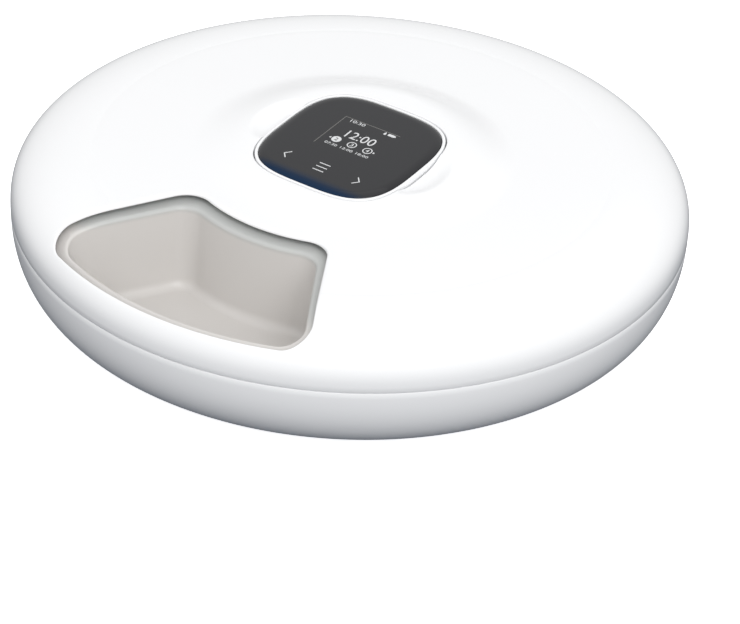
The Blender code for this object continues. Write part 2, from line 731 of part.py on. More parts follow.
def add_bay(base):
    """The cell bay: two end walls, two side walls, the door's hole and the hinge's knuckles."""
    bottom = FLOOR_HEIGHT - FUSE
    top = FLOOR_HEIGHT + BAY_WALL_HEIGHT
    wide = BAY_HALF_X + BAY_WALL
    ends = ((BAY_FRONT_Y - BAY_WALL, BAY_FRONT_Y), (BAY_BACK_Y, BAY_BACK_Y + BAY_WALL))
    for i, (start, end) in enumerate(ends):
        fuse(base, box(f"bay_end_{i}", (-wide, start, bottom), (wide, end, top)))
    for side in (-1, 1):
        across = sorted((side * BAY_HALF_X, side * wide))
        fuse(base, box(f"bay_side_{side}", (across[0], ends[0][0], bottom), (across[1], ends[1][1], top)))
    door = door_rectangle()
    hole_low = (door[0].x - SEAT_GAP, HINGE_Y + DOOR_SWING_GAP, FOOT_STAND - OVERRUN)
    hole_high = (door[1].x + SEAT_GAP, door[1].y + SEAT_GAP, FLOOR_HEIGHT - SEAT_GAP / 2)
    cut(base, box("door_hole", hole_low, hole_high))
    inner_low = (door[0].x + BAY_WALL, BAY_FRONT_Y, FOOT_STAND)
    inner_high = (door[1].x - BAY_WALL, BAY_BACK_Y, FLOOR_HEIGHT + OVERRUN)
    cut(base, box("bay_mouth", inner_low, inner_high))
    reach = BARREL_RADIUS + RUNNING_GAP
    half = DOOR_HINGE_HALF_WIDTH + SEAT_GAP
    cut(
        base,
        box(
            "barrel_slot",
            (-half, HINGE_Y - reach - RUNNING_GAP, FOOT_STAND - OVERRUN),
            (half, HINGE_Y + DOOR_SWING_GAP + OVERRUN, FLOOR_HEIGHT + SEAT_GAP),
        ),
    )
    pin = along_x(HINGE_Y, HINGE_HEIGHT)
    for side in (-1, 1):
        across = sorted((side * (half + SEAT_GAP), side * (half + SEAT_GAP + KNUCKLE_WIDTH)))
        low = (across[0], HINGE_Y - BARREL_RADIUS, bottom)
        high = (across[1], HINGE_Y + BARREL_RADIUS, HINGE_HEIGHT + BARREL_RADIUS)
        fuse(base, box(f"knuckle_{side}", low, high))
    reach_x = half + SEAT_GAP + KNUCKLE_WIDTH + OVERRUN
    cut(base, rod("knuckle_bore", HINGE_PIN_RADIUS + SEAT_GAP, -reach_x, reach_x, SCREW_SIDES, place=pin))


def along_x(y, z):
    """Turns the local Z axis to +X, through this place."""
    return Matrix.Translation((0, y, z)) @ Matrix.Rotation(math.pi / 2, 4, "Y")


def door_rectangle():
    low = Vector((-BAY_HALF_X - BAY_WALL, HINGE_Y + DOOR_HINGE_OFFSET))
    high = Vector((BAY_HALF_X + BAY_WALL, BAY_BACK_Y + BAY_WALL))
    return low, high


def roller_height():
    return TRACK_UNDERSIDE - SEAT_GAP - ROLLER_RADIUS


def track_radius():
    """Middle of the running track, set in from the turntable's edge."""
    return turntable_radius() - TURNTABLE_OVERHANG - TRACK_WIDTH / 2


def radial(angle, radius, height):
    """Turns the local Z axis outwards along this angle, at this radius and height."""
    place = about_z(angle) @ Matrix.Translation((radius, 0, height))
    return place @ Matrix.Rotation(math.pi / 2, 4, "Y")


def add_roller_mounts(base):
    """Two cheeks for each roller, bored for its axle."""
    offset = ROLLER_WIDTH / 2 + RUNNING_GAP
    top = roller_height() + ROLLER_RADIUS / 2
    for i, angle in enumerate(ROLLER_ANGLES):
        for side in (-1, 1):
            across = sorted(track_radius() + side * reach for reach in (offset, offset + CHEEK_WALL))
            low = (across[0], -CHEEK_WIDTH / 2, FLOOR_HEIGHT - FUSE)
            high = (across[1], CHEEK_WIDTH / 2, top)
            fuse(base, box(f"cheek_{i}_{side}", low, high, place=about_z(angle)))
        reach = offset + CHEEK_WALL + OVERRUN
        place = radial(angle, track_radius(), roller_height())
        cut(base, rod(f"axle_bore_{i}", AXLE_RADIUS + SEAT_GAP, -reach, reach, 10, place=place))


def feet():
    for i, angle in enumerate(FOOT_ANGLES):
        top = FOOT_STAND + FOOT_SEAT_DEPTH - SEAT_GAP
        rod(f"foot_{i + 1}", FOOT_RADIUS, 0, top, 20, RUBBER, polar(FOOT_RING_RADIUS, angle))


# Tray and turntable


def bowl_outer_radius():
    return mouth_outer_radius() - LID_WALL - BOWL_RIM_LAND


def bowl_outline(depth_share, grow):
    """The bowl's plan, from its top at depth_share 0 to its floor at 1, made wider all round by grow."""
    inner = BOWL_INNER_RADIUS + BOWL_INNER_TAPER * depth_share - grow
    outer = bowl_outer_radius() - BOWL_OUTER_TAPER * depth_share + grow
    side = BOWL_HALF_LAND + BOWL_SIDE_TAPER * depth_share - grow
    corner = BOWL_CORNER + grow
    return sector(inner, outer, math.pi / MEAL_COUNT, side, corner, corner, 3, 5)


def bowl_body(name, grow, floor, top, flare, place):
    """The bowl as a solid: its hollow with grow 0, or its outside with grow at the wall's thickness."""
    depth = top - floor
    levels = [
        (floor, 1, grow - BOWL_FLOOR_ROUND),
        (floor + BOWL_FLOOR_ROUND, 1 - BOWL_FLOOR_ROUND / depth, grow),
    ]
    edge = LAND_HEIGHT - BOWL_EDGE_ROUND
    levels.append((edge if flare else top, 0, grow))
    if flare:
        levels.append((LAND_HEIGHT, 0, grow + flare))
        levels.append((LAND_HEIGHT + OVERRUN, 0, grow + flare))
    sections = [[(x, y, height) for x, y in bowl_outline(share, more)] for height, share, more in levels]
    return loft(name, sections, place=place)


def deck_profile():
    """The tray's top: a thin ring that follows the lid's shoulder, with a skirt round the hub."""
    drop = LID_WALL + LAND_DROP
    shoulder = inset([(LID_FLAT_RADIUS - drop, LID_TOP_HEIGHT)] + upper_curve(), drop)
    rim_height_low = WIDEST_HEIGHT + (LID_TOP_HEIGHT - WIDEST_HEIGHT) * TRAY_RIM_SHARE
    top = [(radius, height) for radius, height in shoulder[1:] if height > rim_height_low]
    underside = inset([(HUB_RADIUS, LAND_HEIGHT)] + top, DECK_WALL)[1:]
    return [
        (HUB_RADIUS, LAND_HEIGHT),
        *top,
        *reversed(underside),
        (HUB_RADIUS + DECK_WALL, LAND_HEIGHT - DECK_WALL),
        (HUB_RADIUS + DECK_WALL, LAND_HEIGHT - HUB_SKIRT_DEPTH),
        (HUB_RADIUS, LAND_HEIGHT - HUB_SKIRT_DEPTH),
    ]


def meal_angles():
    return [-math.pi / 2 + math.tau * i / MEAL_COUNT for i in range(MEAL_COUNT)]


def tray():
    made = turned("tray", deck_profile(), BODY_SIDES, BOWL_GREY, closed=True)
    for i, angle in enumerate(meal_angles()):
        heights = (TRAY_UNDERSIDE, LAND_HEIGHT - LID_WALL)
        outside = bowl_body(f"bowl_outside_{i}", BOWL_WALL, *heights, 0, about_z(angle))
        fuse(made, trimmed(outside))
    for i, angle in enumerate(meal_angles()):
        heights = (BOWL_FLOOR_HEIGHT, LAND_HEIGHT)
        cut(made, bowl_body(f"bowl_hollow_{i}", 0, *heights, BOWL_EDGE_ROUND, about_z(angle)))
    return made


def trimmed(body):
    """Takes off what stands above the middle of the deck's thickness."""
    drop = LID_WALL + LAND_DROP + DECK_WALL / 2
    shoulder = inset([(LID_FLAT_RADIUS - drop, LID_TOP_HEIGHT)] + upper_curve(), drop)
    middle = [(radius, height) for radius, height in shoulder[1:] if height > WIDEST_HEIGHT / 2]
    outline = [(0, LAND_HEIGHT - DECK_WALL / 2), *middle, (middle[-1][0], 0), (0, 0)]
    boolean(body, turned(f"{body.name}_limit", outline, BODY_SIDES), "INTERSECT")
    return baked(body)


def turntable_radius():
    return bowl_outer_radius() - BOWL_OUTER_TAPER - BOWL_FLOOR_ROUND - TURNTABLE_OVERHANG * 2


def turntable():
    track = track_radius()
    edge = turntable_radius()
    bore = NECK_RADIUS + RUNNING_GAP
    profile = [
        (bore, TURNTABLE_TOP),
        (edge, TURNTABLE_TOP),
        (edge, TURNTABLE_UNDERSIDE),
        (track + TRACK_WIDTH / 2, TURNTABLE_UNDERSIDE),
        (track + TRACK_WIDTH / 2, TRACK_UNDERSIDE),
        (track - TRACK_WIDTH / 2, TRACK_UNDERSIDE),
        (track - TRACK_WIDTH / 2, TURNTABLE_UNDERSIDE),
        (bore, TURNTABLE_UNDERSIDE),
    ]
    made = turned("turntable", profile, TURNTABLE_SIDES, GEAR_WHITE, closed=True)
    last = math.tau * (1 - 1 / TURNTABLE_SIDES)
    rim = arc((0, 0), RING_ROOT_RADIUS + GEAR_RIM_WALL, 0, last, TURNTABLE_SIDES - 1)
    space = math.pi * GEAR_MODULE / 2 + TOOTH_BACKLASH / 2
    radii = (RING_TIP_RADIUS, RING_ROOT_RADIUS)
    spaces = gear_outline(RING_TEETH, RING_PITCH_RADIUS, radii, space, math.pi / 2)
    fuse(made, prism("gear_ring", [rim, spaces], GEAR_BOTTOM, TURNTABLE_UNDERSIDE + FUSE))
    half = BOWL_HALF_LAND + BOWL_SIDE_TAPER - BOWL_WALL - RUNNING_GAP - SEAT_GAP
    key_middle = edge - DRIVE_KEY_EDGE_DISTANCE
    for i, angle in enumerate(meal_angles()):
        place = about_z(angle + math.pi / MEAL_COUNT)
        low = (key_middle - DRIVE_KEY_LENGTH / 2, -half, TURNTABLE_TOP - FUSE)
        high = (key_middle + DRIVE_KEY_LENGTH / 2, half, TURNTABLE_TOP + DRIVE_KEY_HEIGHT)
        fuse(made, box(f"drive_key_{i}", low, high, place=place))
        pocket = (TURNTABLE_UNDERSIDE - OVERRUN, TURNTABLE_UNDERSIDE + MAGNET_THICKNESS)
        where = polar(MAGNET_RING_RADIUS, angle)
        cut(made, rod(f"magnet_pocket_{i}", MAGNET_RADIUS + SEAT_GAP, *pocket, 8, place=where))
    return made


def magnets():
    low = TURNTABLE_UNDERSIDE - SEAT_GAP
    for i, angle in enumerate(meal_angles()):
        place = polar(MAGNET_RING_RADIUS, angle)
        rod(f"index_magnet_{i + 1}", MAGNET_RADIUS, low, low + MAGNET_THICKNESS, 8, STEEL, place)


def drive_pinion():
    """The pinion and the motor's output shaft, in one piece."""
    width = math.pi * GEAR_MODULE / 2 - TOOTH_BACKLASH / 2
    base = PINION_PITCH_RADIUS * math.cos(PRESSURE_ANGLE)
    radii = (PINION_ROOT_RADIUS, base, PINION_PITCH_RADIUS, PINION_TIP_RADIUS)
    teeth = gear_outline(PINION_TEETH, PINION_PITCH_RADIUS, radii, width, math.pi / 2)
    place = at(0, SHAFT_Y)
    low = GEAR_BOTTOM + SEAT_GAP
    made = prism("drive_pinion", [teeth], low, GEAR_TOP - SEAT_GAP, GEAR_WHITE, place)
    top = DECK_TOP + SEAT_GAP + SHAFT_ENGAGEMENT
    return fuse(made, rod("output_shaft", SHAFT_RADIUS, GEAR_BOTTOM + GEAR_WIDTH / 2, top, 16, place=place))


def rollers():
    offset = ROLLER_WIDTH / 2 + RUNNING_GAP
    for i, angle in enumerate(ROLLER_ANGLES):
        place = radial(angle, track_radius(), roller_height())
        half = ROLLER_WIDTH / 2
        wheel = rod(f"support_roller_{i + 1}", ROLLER_RADIUS, -half, half, 20, INNER_GREY, place)
        bore = (-half - OVERRUN, half + OVERRUN)
        cut(wheel, rod(f"roller_bore_{i}", AXLE_RADIUS + SEAT_GAP, *bore, 10, place=place))
        reach = offset + CHEEK_WALL
        rod(f"roller_axle_{i + 1}", AXLE_RADIUS, -reach, reach, 10, STEEL, place)


# Neck: cells, contacts and door


def cells():
    for i in range(CELL_COUNT):
        x = CELL_PITCH * (i - (CELL_COUNT - 1) / 2)
        way = 1 if i % 2 else -1
        half = CELL_LENGTH / 2
        profile = [
            (0, half + CELL_BUTTON_HEIGHT),
            (CELL_BUTTON_RADIUS, half + CELL_BUTTON_HEIGHT),
            (CELL_BUTTON_RADIUS, half),
            (CELL_RADIUS, half),
            (CELL_RADIUS, -half),
            (0, -half),
        ]
        centre_y = (BAY_FRONT_Y + BAY_BACK_Y) / 2 - way * CELL_BUTTON_HEIGHT / 2
        place = Matrix.Translation((x, centre_y, CELL_HEIGHT)) @ Matrix.Rotation(-way * math.pi / 2, 4, "X")
        turned(f"battery_{i + 1}", profile, 16, CELL_GREY, place=place)


def contact_plates():
    low = FLOOR_HEIGHT + SEAT_GAP
    high = FLOOR_HEIGHT + BAY_WALL_HEIGHT
    half = BAY_HALF_X - SEAT_GAP
    front = BAY_FRONT_Y + SEAT_GAP / 2
    back = BAY_BACK_Y - SEAT_GAP / 2
    box("battery_contact_front", (-half, front, low), (half, front + CONTACT_THICKNESS, high), STEEL)
    box("battery_contact_back", (-half, back - CONTACT_THICKNESS, low), (half, back, high), STEEL)


def battery_door():
    low, high = door_rectangle()
    top = DOOR_BOTTOM + DOOR_THICKNESS
    door = box("battery_door", (low.x, low.y, DOOR_BOTTOM), (high.x, high.y, top), WHITE_GLOSS)
    pin = along_x(HINGE_Y, HINGE_HEIGHT)
    half = DOOR_HINGE_HALF_WIDTH
    arm = box("door_arm", (-half, HINGE_Y, DOOR_BOTTOM), (half, low.y + FUSE, top))
    barrel = rod("door_barrel", BARREL_RADIUS, -half, half, 14, place=pin)
    through = (-half - OVERRUN, half + OVERRUN)
    bore = rod("door_bore", HINGE_PIN_RADIUS + SEAT_GAP, *through, SCREW_SIDES, place=pin)
    fuse(door, arm, barrel)
    cut(door, bore)
    reach = half + SEAT_GAP * 2 + KNUCKLE_WIDTH
    rod("door_hinge_pin", HINGE_PIN_RADIUS, -reach, reach, 10, STEEL, pin)


# Tower: deck, motor, board and cap


def screw(name, place, seat, length):
    """A round-headed screw whose head rests on the face at height seat."""
    profile = [
        (0, seat + SEAT_GAP + SCREW_HEAD_HEIGHT),
        (SCREW_HEAD_RADIUS / 2, seat + SEAT_GAP + SCREW_HEAD_HEIGHT),
        (SCREW_HEAD_RADIUS, seat + SEAT_GAP + SCREW_HEAD_HEIGHT / 2),
        (SCREW_HEAD_RADIUS, seat + SEAT_GAP),
        (SCREW_RADIUS, seat + SEAT_GAP),
        (SCREW_RADIUS, seat - length),
        (0, seat - length),
    ]
    return turned(name, profile, SCREW_SIDES, STEEL, place=place)


def deck_screw_places():
    return [polar(NECK_RADIUS - NECK_WALL - BOSS_INSET, angle) for angle in DECK_SCREW_ANGLES]


def cap_screw_places():
    return [polar(TOWER_RADIUS - CAP_POST_INSET, angle) for angle in CAP_SCREW_ANGLES]


def motor_screw_places():
    return [at(side * MOTOR_SCREW_RADIUS, SHAFT_Y) for side in (-1, 1)]


def board_post_places():
    half_x = BOARD_LENGTH / 2 - BOARD_POST_RADIUS * 2
    half_y = BOARD_WIDTH / 2 - BOARD_POST_RADIUS * 2
    return [at(x * half_x, BOARD_CENTRE_Y + y * half_y) for x in (-1, 1) for y in (-1, 1)]


def motor_deck():
    deck = rod("motor_deck", TOWER_RADIUS, DECK_UNDERSIDE, DECK_TOP, TOWER_SIDES, INNER_GREY)
    post_top = TOWER_TOP_HEIGHT - TOWER_WALL - SEAT_GAP
    for i, place in enumerate(cap_screw_places()):
        fuse(deck, rod(f"cap_post_{i}", CAP_POST_RADIUS, DECK_TOP - FUSE, post_top, SCREW_SIDES, place=place))
        low = post_top - SCREW_LENGTH
        cut(deck, rod(f"cap_hole_{i}", SCREW_HOLE_RADIUS, low, post_top + OVERRUN, SCREW_SIDES, place=place))
    for i, place in enumerate(board_post_places()):
        top = DECK_TOP + BOARD_STANDOFF
        fuse(deck, rod(f"board_post_{i}", BOARD_POST_RADIUS, DECK_TOP - FUSE, top, 8, place=place))
    through = (DECK_UNDERSIDE - OVERRUN, DECK_TOP + OVERRUN)
    for i, place in enumerate(deck_screw_places() + motor_screw_places()):
        cut(deck, rod(f"deck_hole_{i}", SCREW_HOLE_RADIUS, *through, SCREW_SIDES, place=place))
    cut(deck, rod("shaft_hole", SHAFT_RADIUS + RUNNING_GAP, *through, 16, place=at(0, SHAFT_Y)))
    return deck


def gear_motor():
    bottom = DECK_TOP + SEAT_GAP
    place = at(0, SHAFT_Y)
    motor = rod("gear_motor", MOTOR_RADIUS, bottom, bottom + MOTOR_HEIGHT, 24, STEEL, place)
    low = (-MOTOR_EAR_SPAN / 2, SHAFT_Y - MOTOR_EAR_WIDTH / 2, bottom)
    high = (MOTOR_EAR_SPAN / 2, SHAFT_Y + MOTOR_EAR_WIDTH / 2, bottom + MOTOR_EAR_THICKNESS)
    fuse(motor, box("motor_ears", low, high))
    for i, where in enumerate(motor_screw_places()):
        through = (bottom - OVERRUN, bottom + MOTOR_EAR_THICKNESS + OVERRUN)
        cut(motor, rod(f"ear_hole_{i}", SCREW_HOLE_RADIUS, *through, SCREW_SIDES, place=where))
    bore = (bottom - OVERRUN, bottom + SHAFT_ENGAGEMENT + RUNNING_GAP)
    cut(motor, rod("shaft_bore", SHAFT_RADIUS + SEAT_GAP, *bore, 16, place=place))
    return motor


def main_board():
    bottom = DECK_TOP + BOARD_STANDOFF + SEAT_GAP
    top = bottom + BOARD_THICKNESS
    half = Vector((BOARD_LENGTH / 2, BOARD_WIDTH / 2))
    board = box(
        "main_board",
        (-half.x, BOARD_CENTRE_Y - half.y, bottom),
        (half.x, BOARD_CENTRE_Y + half.y, top),
        BOARD_GREEN,
    )
    chip = CHIP_SIZE / 2
    low = (-chip, BOARD_CENTRE_Y - chip, top - FUSE)
    high = (chip, BOARD_CENTRE_Y + chip, top + CHIP_HEIGHT)
    fuse(board, box("chip", low, high))
    start = -half.x + DRIVER_EDGE_DISTANCE
    low = (start, BOARD_CENTRE_Y - DRIVER_WIDTH / 2, top - FUSE)
    high = (start + DRIVER_LENGTH, BOARD_CENTRE_Y + DRIVER_WIDTH / 2, top + DRIVER_HEIGHT)
    fuse(board, box("motor_driver", low, high))
    return board


def tower_cap():
    wall = TOWER_WALL
    bottom = DECK_TOP + SEAT_GAP
    profile = [
        (0, TOWER_TOP_HEIGHT),
        (TOWER_RADIUS - TOWER_EDGE_BEVEL, TOWER_TOP_HEIGHT),
        (TOWER_RADIUS, TOWER_TOP_HEIGHT - TOWER_EDGE_BEVEL),
        (TOWER_RADIUS, bottom),
        (TOWER_RADIUS - wall, bottom),
        (TOWER_RADIUS - wall, TOWER_TOP_HEIGHT - TOWER_EDGE_BEVEL),
        (TOWER_RADIUS - TOWER_EDGE_BEVEL, TOWER_TOP_HEIGHT - wall),
        (0, TOWER_TOP_HEIGHT - wall),
    ]
    cap = turned("tower_cap", profile, TOWER_SIDES, WHITE_GLOSS)
    through = (TOWER_TOP_HEIGHT - wall - OVERRUN, TOWER_TOP_HEIGHT + OVERRUN)
    for i, place in enumerate(cap_screw_places()):
        cut(cap, rod(f"cap_top_hole_{i}", SCREW_HOLE_RADIUS, *through, SCREW_SIDES, place=place))
    return cap


def stud_places():
    return [at(STUD_PITCH * (i - (STUD_COUNT - 1) / 2), PANEL_SHIFT_Y) for i in range(STUD_COUNT)]


def pad_underside():
    """Height of the lowest edge of the pad board under the module."""
    edge = Vector((0, -PAD_BOARD_WIDTH / 2, -MODULE_DEPTH - SEAT_GAP - PAD_BOARD_THICKNESS))
    return (PANEL_FRAME @ edge).z


def contact_block():
    low = TOWER_TOP_HEIGHT + SEAT_GAP
    half = Vector((CONTACT_BLOCK_LENGTH / 2, CONTACT_BLOCK_WIDTH / 2))
    block = box(
        "contact_block",
        (-half.x, PANEL_SHIFT_Y - half.y, low),
        (half.x, PANEL_SHIFT_Y + half.y, low + CONTACT_BLOCK_HEIGHT),
        INNER_GREY,
    )
    for i, place in enumerate(stud_places()):
        through = (low - OVERRUN, low + CONTACT_BLOCK_HEIGHT + OVERRUN)
        cut(block, rod(f"stud_hole_{i}", STUD_RADIUS + SEAT_GAP, *through, 10, place=place))
        stud_top = pad_underside() - STUD_CLEARANCE
        rod(f"contact_stud_{i + 1}", STUD_RADIUS, low, stud_top, 10, BRASS, place)


def screws():
    for i, place in enumerate(deck_screw_places()):
        screw(f"deck_screw_{i + 1}", place, DECK_TOP, SCREW_LENGTH)
    for i, place in enumerate(cap_screw_places()):
        screw(f"cap_screw_{i + 1}", place, TOWER_TOP_HEIGHT, SCREW_LENGTH)
    for i, place in enumerate(motor_screw_places()):
        seat = DECK_TOP + SEAT_GAP + MOTOR_EAR_THICKNESS
        screw(f"motor_screw_{i + 1}", place, seat, MOTOR_SCREW_LENGTH)


# Control module


def glass():
    """The cover glass, flat in the middle and rounded over at its edge."""
    levels = (
        (-GLASS_THICKNESS, 0),
        (-GLASS_CROWN / 2, 0),
        (GLASS_CROWN / 3, GLASS_EDGE_ROUND / 4),
        (GLASS_CROWN, GLASS_EDGE_ROUND),
    )
    sections = []
    for height, narrower in levels:
        outline = squircle(GLASS_HALF_X - narrower, GLASS_HALF_Y - narrower)
        sections.append([(x, y, height) for x, y in outline])
    return loft("control_glass", sections, DARK_GLASS, PANEL_FRAME)


def module():
    glass()
    inner = squircle(GLASS_HALF_X + SEAT_GAP, GLASS_HALF_Y + SEAT_GAP)
    outer_x = WELL_HALF_X - MODULE_GAP
    outer_y = WELL_HALF_Y - MODULE_GAP
    outer = squircle(outer_x, outer_y)
    shelf = -GLASS_THICKNESS - SEAT_GAP
    prism("module_bezel", [outer, inner], shelf, BEZEL_RISE, WHITE_GLOSS, PANEL_FRAME)
    wall_top = shelf - SEAT_GAP
    housing = prism("module_housing", [outer], -MODULE_DEPTH, wall_top, WHITE_GLOSS, PANEL_FRAME)
    hollow = squircle(outer_x - MODULE_WALL, outer_y - MODULE_WALL)
    bottom = -MODULE_DEPTH + MODULE_WALL
    cut(housing, prism("housing_hollow", [hollow], bottom, OVERRUN, place=PANEL_FRAME))
    display_top = -GLASS_THICKNESS - SEAT_GAP
    display_bottom = display_top - DISPLAY_THICKNESS
    half = Vector((DISPLAY_LENGTH / 2, DISPLAY_WIDTH / 2))
    box(
        "display_panel",
        (-half.x, DISPLAY_SHIFT_Y - half.y, display_bottom),
        (half.x, DISPLAY_SHIFT_Y + half.y, display_top),
        SCREEN,
        PANEL_FRAME,
    )
    board_top = display_bottom - SEAT_GAP
    board_bottom = board_top - TOUCH_BOARD_THICKNESS
    narrower = MODULE_WALL + TOUCH_BOARD_INSET
    board = squircle(outer_x - narrower, outer_y - narrower, PANEL_SIDES // 2)
    prism("touch_board", [board], board_bottom, board_top, BOARD_GREEN, PANEL_FRAME)
    for i, side in enumerate((-1, 1)):
        across = sorted((side * half.x, side * (half.x - MODULE_WALL)))
        low = (across[0], -half.y, bottom - FUSE)
        high = (across[1], half.y, board_bottom - SEAT_GAP)
        fuse(housing, box(f"board_rib_{i}", low, high, place=PANEL_FRAME))
    pad_top = -MODULE_DEPTH - SEAT_GAP
    pad_half = Vector((PAD_BOARD_LENGTH / 2, PAD_BOARD_WIDTH / 2))
    box(
        "pad_board",
        (-pad_half.x, -pad_half.y, pad_top - PAD_BOARD_THICKNESS),
        (pad_half.x, pad_half.y, pad_top),
        BRASS,
        PANEL_FRAME,
    )


# Inlet, switch and sensor


def inlet():
    outside = base_radius(INLET_HEIGHT)
    back = Matrix.Translation((0, outside, INLET_HEIGHT)) @ Matrix.Rotation(-math.pi / 2, 4, "X")
    half = Vector((INLET_BODY_WIDTH / 2, INLET_BODY_HEIGHT / 2))
    top = -INLET_SETBACK
    body = box(
        "power_inlet",
        (-half.x, -half.y, top - INLET_BODY_LENGTH),
        (half.x, half.y, top),
        INNER_GREY,
        back,
    )
    socket = top - INLET_BODY_LENGTH + BASE_WALL
    cut(body, rod("inlet_socket", INLET_BORE_RADIUS - SEAT_GAP, socket, top + OVERRUN, 16, place=back))


def switch():
    low = FLOOR_HEIGHT + SEAT_GAP
    half = Vector((SWITCH_BODY_LENGTH / 2, SWITCH_BODY_WIDTH / 2))
    body = box(
        "switch_body",
        (-half.x, SWITCH_Y - half.y, low),
        (half.x, SWITCH_Y + half.y, low + SWITCH_BODY_HEIGHT),
        INNER_GREY,
    )
    stem_half = Vector((SWITCH_KNOB_LENGTH / 4, SWITCH_STEM_WIDTH / 2))
    slot_x = stem_half.x + SWITCH_TRAVEL / 2 + SEAT_GAP
    slot_y = stem_half.y + SEAT_GAP
    slot_top = low + SWITCH_STEM_REACH + SEAT_GAP
    slot = box(
        "stem_slot",
        (-slot_x, SWITCH_Y - slot_y, low - OVERRUN),
        (slot_x, SWITCH_Y + slot_y, slot_top),
    )
    cut(body, slot)
    x = -SWITCH_TRAVEL / 2
    knob = box(
        "switch_knob",
        (x - SWITCH_KNOB_LENGTH / 2, SWITCH_Y - SWITCH_KNOB_WIDTH / 2, FOOT_STAND + SEAT_GAP),
        (x + SWITCH_KNOB_LENGTH / 2, SWITCH_Y + SWITCH_KNOB_WIDTH / 2, FLOOR_HEIGHT),
        RUBBER,
    )
    stem = box(
        "switch_stem",
        (x - stem_half.x, SWITCH_Y - stem_half.y, FLOOR_HEIGHT - FUSE),
        (x + stem_half.x, SWITCH_Y + stem_half.y, low + SWITCH_STEM_REACH),
    )
    fuse(knob, stem)


def position_sensor():
    half = Vector((SENSOR_THICKNESS / 2, SENSOR_WIDTH / 2))
    top = TURNTABLE_UNDERSIDE - SEAT_GAP - SENSOR_GAP
    place = polar(MAGNET_RING_RADIUS, meal_angles()[0])
    low = FLOOR_HEIGHT + SEAT_GAP
    made = box("position_sensor", (-half.y, -half.x, low), (half.y, half.x, top), BOARD_GREEN, place)
    foot = box("sensor_foot", (-half.y, -half.y, low), (half.y, half.y, low + SENSOR_THICKNESS), place=place)
    return fuse(made, foot)


# Joint axes and finish


def carry(name, place, *pieces):
    """An empty on a joint's axis, and the pieces that move about it as its children."""
    axis = bpy.data.objects.new(name, None)
    axis.matrix_world = place
    PARTS.objects.link(axis)
    for piece in pieces:
        child = bpy.data.objects[piece]
        child.parent = axis
        child.matrix_parent_inverse = place.inverted()
    return axis


def add_joint_axes():
    magnet_names = [f"index_magnet_{i + 1}" for i in range(MEAL_COUNT)]
    carry("tray_axis", Matrix.Translation((0, 0, TURNTABLE_TOP)), "tray", "turntable", *magnet_names)
    carry("pinion_axis", Matrix.Translation((0, SHAFT_Y, GEAR_BOTTOM + GEAR_WIDTH / 2)), "drive_pinion")
    for i, angle in enumerate(ROLLER_ANGLES):
        place = radial(angle, track_radius(), roller_height())
        carry(f"roller_axis_{i + 1}", place, f"support_roller_{i + 1}")
    carry("door_axis", along_x(HINGE_Y, HINGE_HEIGHT), "battery_door")
    carry("switch_axis", Matrix.Translation((0, SWITCH_Y, FOOT_STAND)), "switch_knob")
    lid_axis = carry("lid_axis", Matrix.Translation((0, 0, PARTING_HEIGHT)), "lid_shell")
    casing = ("module_housing", "module_bezel", "control_glass")
    module_axis = carry("module_axis", PANEL_FRAME, *casing, "display_panel", "touch_board", "pad_board")
    module_axis.parent = lid_axis
    module_axis.matrix_parent_inverse = lid_axis.matrix_world.inverted()


def finish_shading():
    for item in PARTS.objects:
        if item.type != "MESH":
            continue
        item.data.shade_smooth()
        item.data.set_sharp_from_angle(angle=SMOOTH_ANGLE)


def build():
    base_shell()
    feet()
    battery_door()
    cells()
    contact_plates()
    motor_deck()
    gear_motor()
    main_board()
    tower_cap()
    contact_block()
    screws()
    drive_pinion()
    turntable()
    magnets()
    rollers()
    tray()
    inlet()
    switch()
    position_sensor()
    lid_shell()
    module()
    add_joint_axes()
    finish_shading()


build()
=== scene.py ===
"""Looks of a round six-meal feeder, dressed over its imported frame.

Units are metres, +Z is up and -Y is the front, where the lid opens over one meal. The casings, the tray,
the feet and the control module are finer stand-ins for their nodes. Every other node keeps its own shape
and gets a finish. All pieces stay where the frame has them.
"""

import math

import bmesh
import bpy
from mathutils import Matrix, Vector


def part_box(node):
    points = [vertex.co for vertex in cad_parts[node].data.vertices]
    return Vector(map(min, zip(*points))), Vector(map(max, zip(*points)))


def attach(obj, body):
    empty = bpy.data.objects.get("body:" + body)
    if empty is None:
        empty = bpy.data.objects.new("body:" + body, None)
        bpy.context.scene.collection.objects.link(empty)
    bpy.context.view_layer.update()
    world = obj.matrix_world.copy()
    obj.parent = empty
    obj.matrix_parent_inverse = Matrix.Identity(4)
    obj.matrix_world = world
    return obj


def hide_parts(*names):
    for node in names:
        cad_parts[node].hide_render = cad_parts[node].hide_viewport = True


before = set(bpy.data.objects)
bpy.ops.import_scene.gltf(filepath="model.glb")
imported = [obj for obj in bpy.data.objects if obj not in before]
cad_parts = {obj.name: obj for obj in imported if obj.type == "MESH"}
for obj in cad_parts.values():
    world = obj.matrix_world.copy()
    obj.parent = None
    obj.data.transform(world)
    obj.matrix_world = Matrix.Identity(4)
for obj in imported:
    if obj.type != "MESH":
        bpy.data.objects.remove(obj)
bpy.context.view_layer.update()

# Gaps, and how far a cutter runs past what it cuts.
SEAT_GAP = 0.0003
RUNNING_GAP = 0.0005
OVERRUN = 0.002
FUSE = 0.0004
SMOOTH_ANGLE = math.radians(33)
CUT_SLOPE = math.radians(72)
CUT_STEPS = 5
JOIN_DISTANCE = 0.00002

